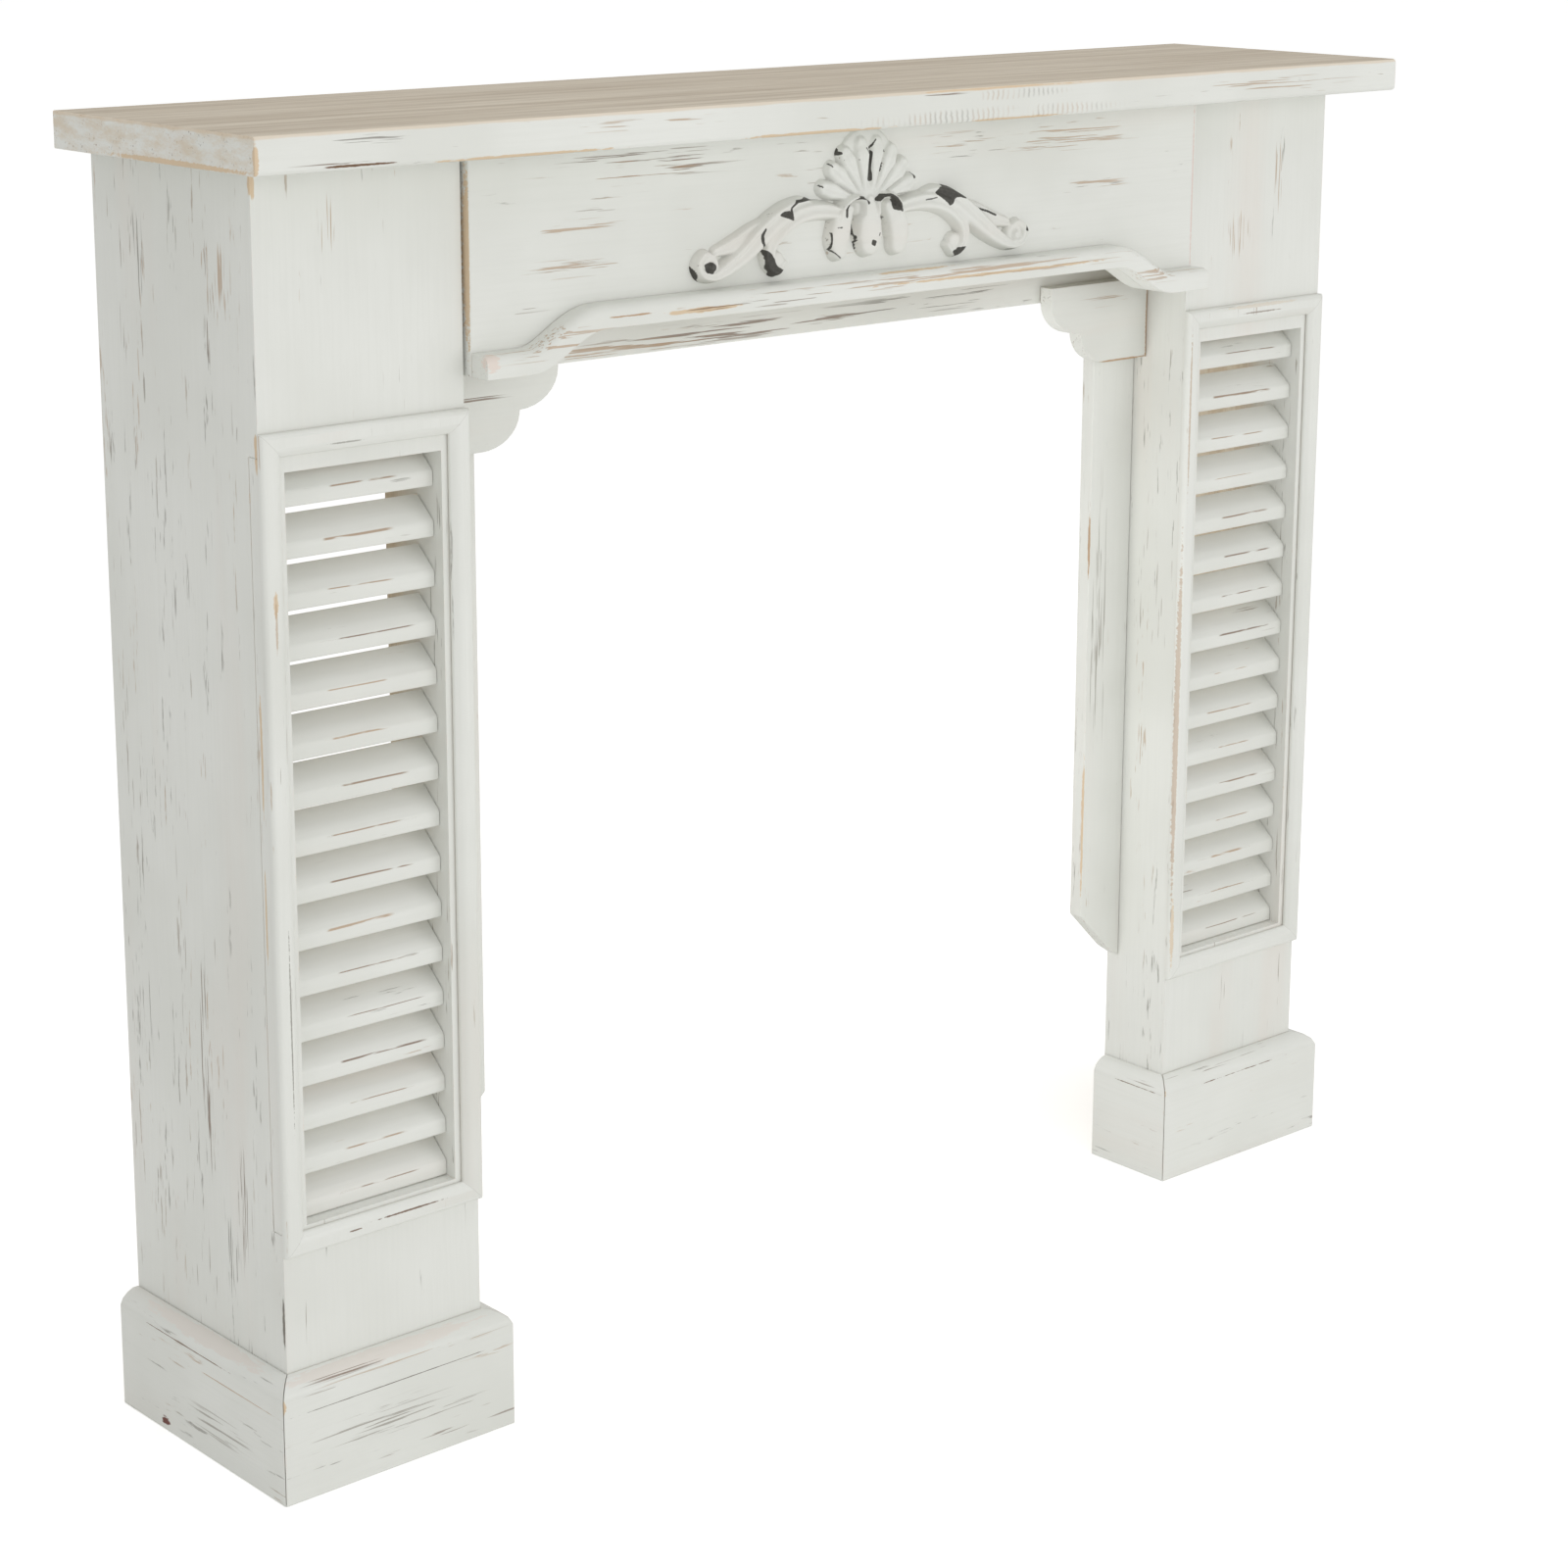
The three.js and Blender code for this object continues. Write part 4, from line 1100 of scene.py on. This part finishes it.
# Dark coat where the white has come off in chips, and painted shade along most of the faint lines
chipped_and_shaded = ramp(tree, number(tree, "ADD", stored(tree, "dark", "Fac"), ragged), 0.55, 0.70)
dust = noise(tree, where, 8.0, scale=500, detail=3.0)
painted_over(ornament_paint, chipped_and_shaded, mixed(tree, dust, DARK_COAT, DUSTY_COAT))
carved_mesh.materials.append(ornament_paint)
settle(carved, ["frieze_ornament"])


# Shelf: one wide pine board. Its top is left bare under a thin grey wash, and its edges are
# painted white, worn back along the arrises and, at the right of the front, marked by a planer.
WASHED_PALE = srgb(203, 192, 173)
WASHED_DARK = srgb(178, 164, 143)
END_WASH = srgb(210, 192, 165)
SHELF_ARRIS = 1.0 * MM
CHATTER_PITCH = 5.6 * MM
CHATTER_COVER = 0.34
END_WASH_COVER = 0.65
RAW_LINE_COVER = 0.55
SHELF_WORN = [
    ((-508, -130, 976), (38, 4, 1.2), SPLIT_BROWN),
    ((-365, -130, 974), (100, 4, 1.8), RUBBED_PINE),
    ((-90, -130, 974), (95, 4, 2.0), RUBBED_PINE),
    ((120, -130, 974), (70, 4, 1.4), RUBBED_PINE),
    ((90, -130, 998.5), (110, 4, 1.0), RUBBED_PINE),
    ((-587, -130, 984), (3, 3, 14), RUBBED_PINE),
    ((-588, -34, 975), (4, 110, 2.6), RUBBED_PINE),
]
SHELF_STREAKED = [
    ((-510, -130, 993), (55, 3, 5), STREAK_GREY),
    ((-505, -130, 978), (60, 4, 4), SPLIT_BROWN),
    ((36, -130, 997), (34, 3, 3), SPLIT_BROWN),
    ((-250, -130, 990), (140, 3, 5), STREAK_TAN),
    ((430, -130, 986), (120, 3, 8), STREAK_TAN),
]
shelf_paint = painted_wood(
    "shelf_paint",
    ALONG_X,
    seed=39.0,
    amount=0.2,
    wear=1.2,
    worn=SHELF_WORN,
    streaked=SHELF_STREAKED,
)
tree = shelf_paint.node_tree
shelf_end, _, shelf_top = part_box("shelf")[1]
where = object_place(tree)
parts = axes(tree, where)
stretched = vector(tree, "MULTIPLY", where, (0.2, 1.0, 1.0))
wander = noise(tree, stretched, 4.0, scale=90, detail=3.0, roughness=0.6)

# Planer marks: short upright teeth in two rows on the right of the front
turns = number(tree, "MULTIPLY", parts["X"], 2 * math.pi / CHATTER_PITCH)
turns = number(tree, "MULTIPLY_ADD", wander, 9.0, turns)
tooth = ramp(tree, number(tree, "SINE", turns), 0.0, 0.8)
lower_row = ramp(tree, nearness(tree, where, (90, -130, 978.5), (175, 6, 7)), 0.0, 0.5)
upper_row = ramp(tree, nearness(tree, where, (110, -130, 993), (80, 6, 5)), 0.0, 0.5)
teeth = number(tree, "MULTIPLY", number(tree, "MAXIMUM", lower_row, upper_row), tooth)
patches = ramp(tree, noise(tree, where, 3.0, scale=28), 0.38, 0.58)
teeth = number(tree, "MULTIPLY", teeth, patches)
warm = ramp(tree, noise(tree, where, 5.0, scale=34), 0.45, 0.6)
painted_over(shelf_paint, teeth, mixed(tree, warm, STREAK_GREY, STREAK_TAN), CHATTER_COVER)

# Ends rubbed through in soft patches
aside = number(tree, "ABSOLUTE", parts["X"])
end_part = ramp(tree, aside, shelf_end - 1.5 * MM, shelf_end - 0.5 * MM)
end_place = vector(tree, "MULTIPLY", where, (1.0, 0.4, 1.0))
mottle = noise(tree, end_place, 9.0, scale=75, detail=6.0, roughness=0.75)
mottle = number(tree, "MULTIPLY", ramp(tree, mottle, 0.38, 0.66), end_part)
painted_over(shelf_paint, mottle, END_WASH, END_WASH_COVER)

# Bare top, with a line of raw pine where the white of the edges begins
brink = number(tree, "MULTIPLY_ADD", wander, 3.0 * MM, parts["Z"])
raw = ramp(tree, brink, shelf_top - 1.6 * MM, shelf_top - 0.2 * MM)
painted_over(shelf_paint, raw, RUBBED_PINE, RAW_LINE_COVER)
top = ramp(tree, surface_normal(tree)["Z"], 0.80, 0.97)
level = ramp(tree, parts["Z"], shelf_top - 2 * MM, shelf_top - 0.5 * MM)
top = number(tree, "MULTIPLY", top, level)
painted_over(shelf_paint, top, pine(tree, where, ALONG_X, 41.0, WASHED_PALE, WASHED_DARK))
softened("shelf_piece", "shelf", shelf_paint, SHELF_ARRIS)


# Set: a pale floor and soft light all round, with two large lamps low in front, one at the left,
# one above and a small one that fills the opening, and the camera where the picture was taken
# from. The surroundings look white.
FLOOR_REACH = 30
FLOOR_WHITE = srgb(246, 246, 244)
FLOOR_GLOW = 0.42           # only the camera sees the two glows
SKY_LIGHT = 0.64
SKY_GLOW = 0.42
BLACK = (0.0, 0.0, 0.0, 1.0)
WHITE = (1.0, 1.0, 1.0, 1.0)

ground = bmesh.new()
bmesh.ops.create_grid(ground, size=FLOOR_REACH)
floor = new_piece("floor", ground)
floor_finish = bpy.data.materials.new("floor_finish")
floor_finish.use_nodes = True
tree = floor_finish.node_tree
shader = tree.nodes["Principled BSDF"]
seen = tree.nodes.new("ShaderNodeLightPath").outputs["Is Camera Ray"]
shader.inputs["Base Color"].default_value = FLOOR_WHITE
tree.links.new(mixed(tree, seen, BLACK, WHITE), shader.inputs["Emission Color"])
shader.inputs["Emission Strength"].default_value = FLOOR_GLOW
shader.inputs["Roughness"].default_value = 0.9
floor.data.materials.append(floor_finish)

world = bpy.data.worlds.new("studio")
world.use_nodes = True
tree = world.node_tree
seen = tree.nodes.new("ShaderNodeLightPath").outputs["Is Camera Ray"]
strength = number(tree, "MULTIPLY_ADD", seen, SKY_GLOW, SKY_LIGHT)
tree.links.new(strength, tree.nodes["Background"].inputs["Strength"])
tree.nodes["Background"].inputs["Color"].default_value = WHITE
bpy.context.scene.world = world
bpy.context.scene.view_settings.view_transform = "Standard"


def soft_light(name, place, aim, width, power):
    """Square lamp at a place, in metres and watts, that the camera doesn't see."""
    light = bpy.data.lights.new(name, "AREA")
    light.shape = "SQUARE"
    light.size = width
    light.energy = power
    lamp = in_scene(name, light)
    lamp.location = place
    lamp.rotation_euler = (Vector(aim) - Vector(place)).to_track_quat("-Z", "Y").to_euler()
    lamp.visible_camera = False


soft_light("right front", (1.4, -3.3, 1.1), (0.0, 0.0, 0.6), 2.2, 21)
soft_light("left front", (-1.4, -3.1, 1.1), (0.2, 0.0, 0.6), 1.8, 11)
soft_light("left", (-3.2, -0.6, 1.2), (-0.5, 0.0, 0.6), 2.0, 4)
soft_light("overhead", (0.0, -0.2, 3.4), (0.0, 0.0, 0.8), 2.6, 20)
soft_light("opening", (-0.31, 0.03, 0.5), (0.4, 0.03, 0.5), 0.15, 1.2)

CAMERA_PLACE = (-1.8263, -2.0615, 1.2076)
CAMERA_YAW = math.radians(41.407)
CAMERA_PITCH = math.radians(-13.312)
CAMERA_ROLL = math.radians(0.218)
CAMERA_LENS = 79.05
CAMERA_SENSOR = 36
CAMERA_SHIFT = -0.1
lens = bpy.data.cameras.new("camera")
lens.sensor_width = CAMERA_SENSOR
lens.lens = CAMERA_LENS
lens.shift_y = CAMERA_SHIFT
camera = in_scene("camera", lens)
camera.location = CAMERA_PLACE
ahead = Vector((
    math.sin(CAMERA_YAW) * math.cos(CAMERA_PITCH),
    math.cos(CAMERA_YAW) * math.cos(CAMERA_PITCH),
    math.sin(CAMERA_PITCH),
))
camera.rotation_euler = ahead.to_track_quat("-Z", "Y").to_euler()
camera.rotation_euler.rotate_axis("Z", CAMERA_ROLL)
bpy.context.scene.camera = camera

bpy.context.view_layer.update()
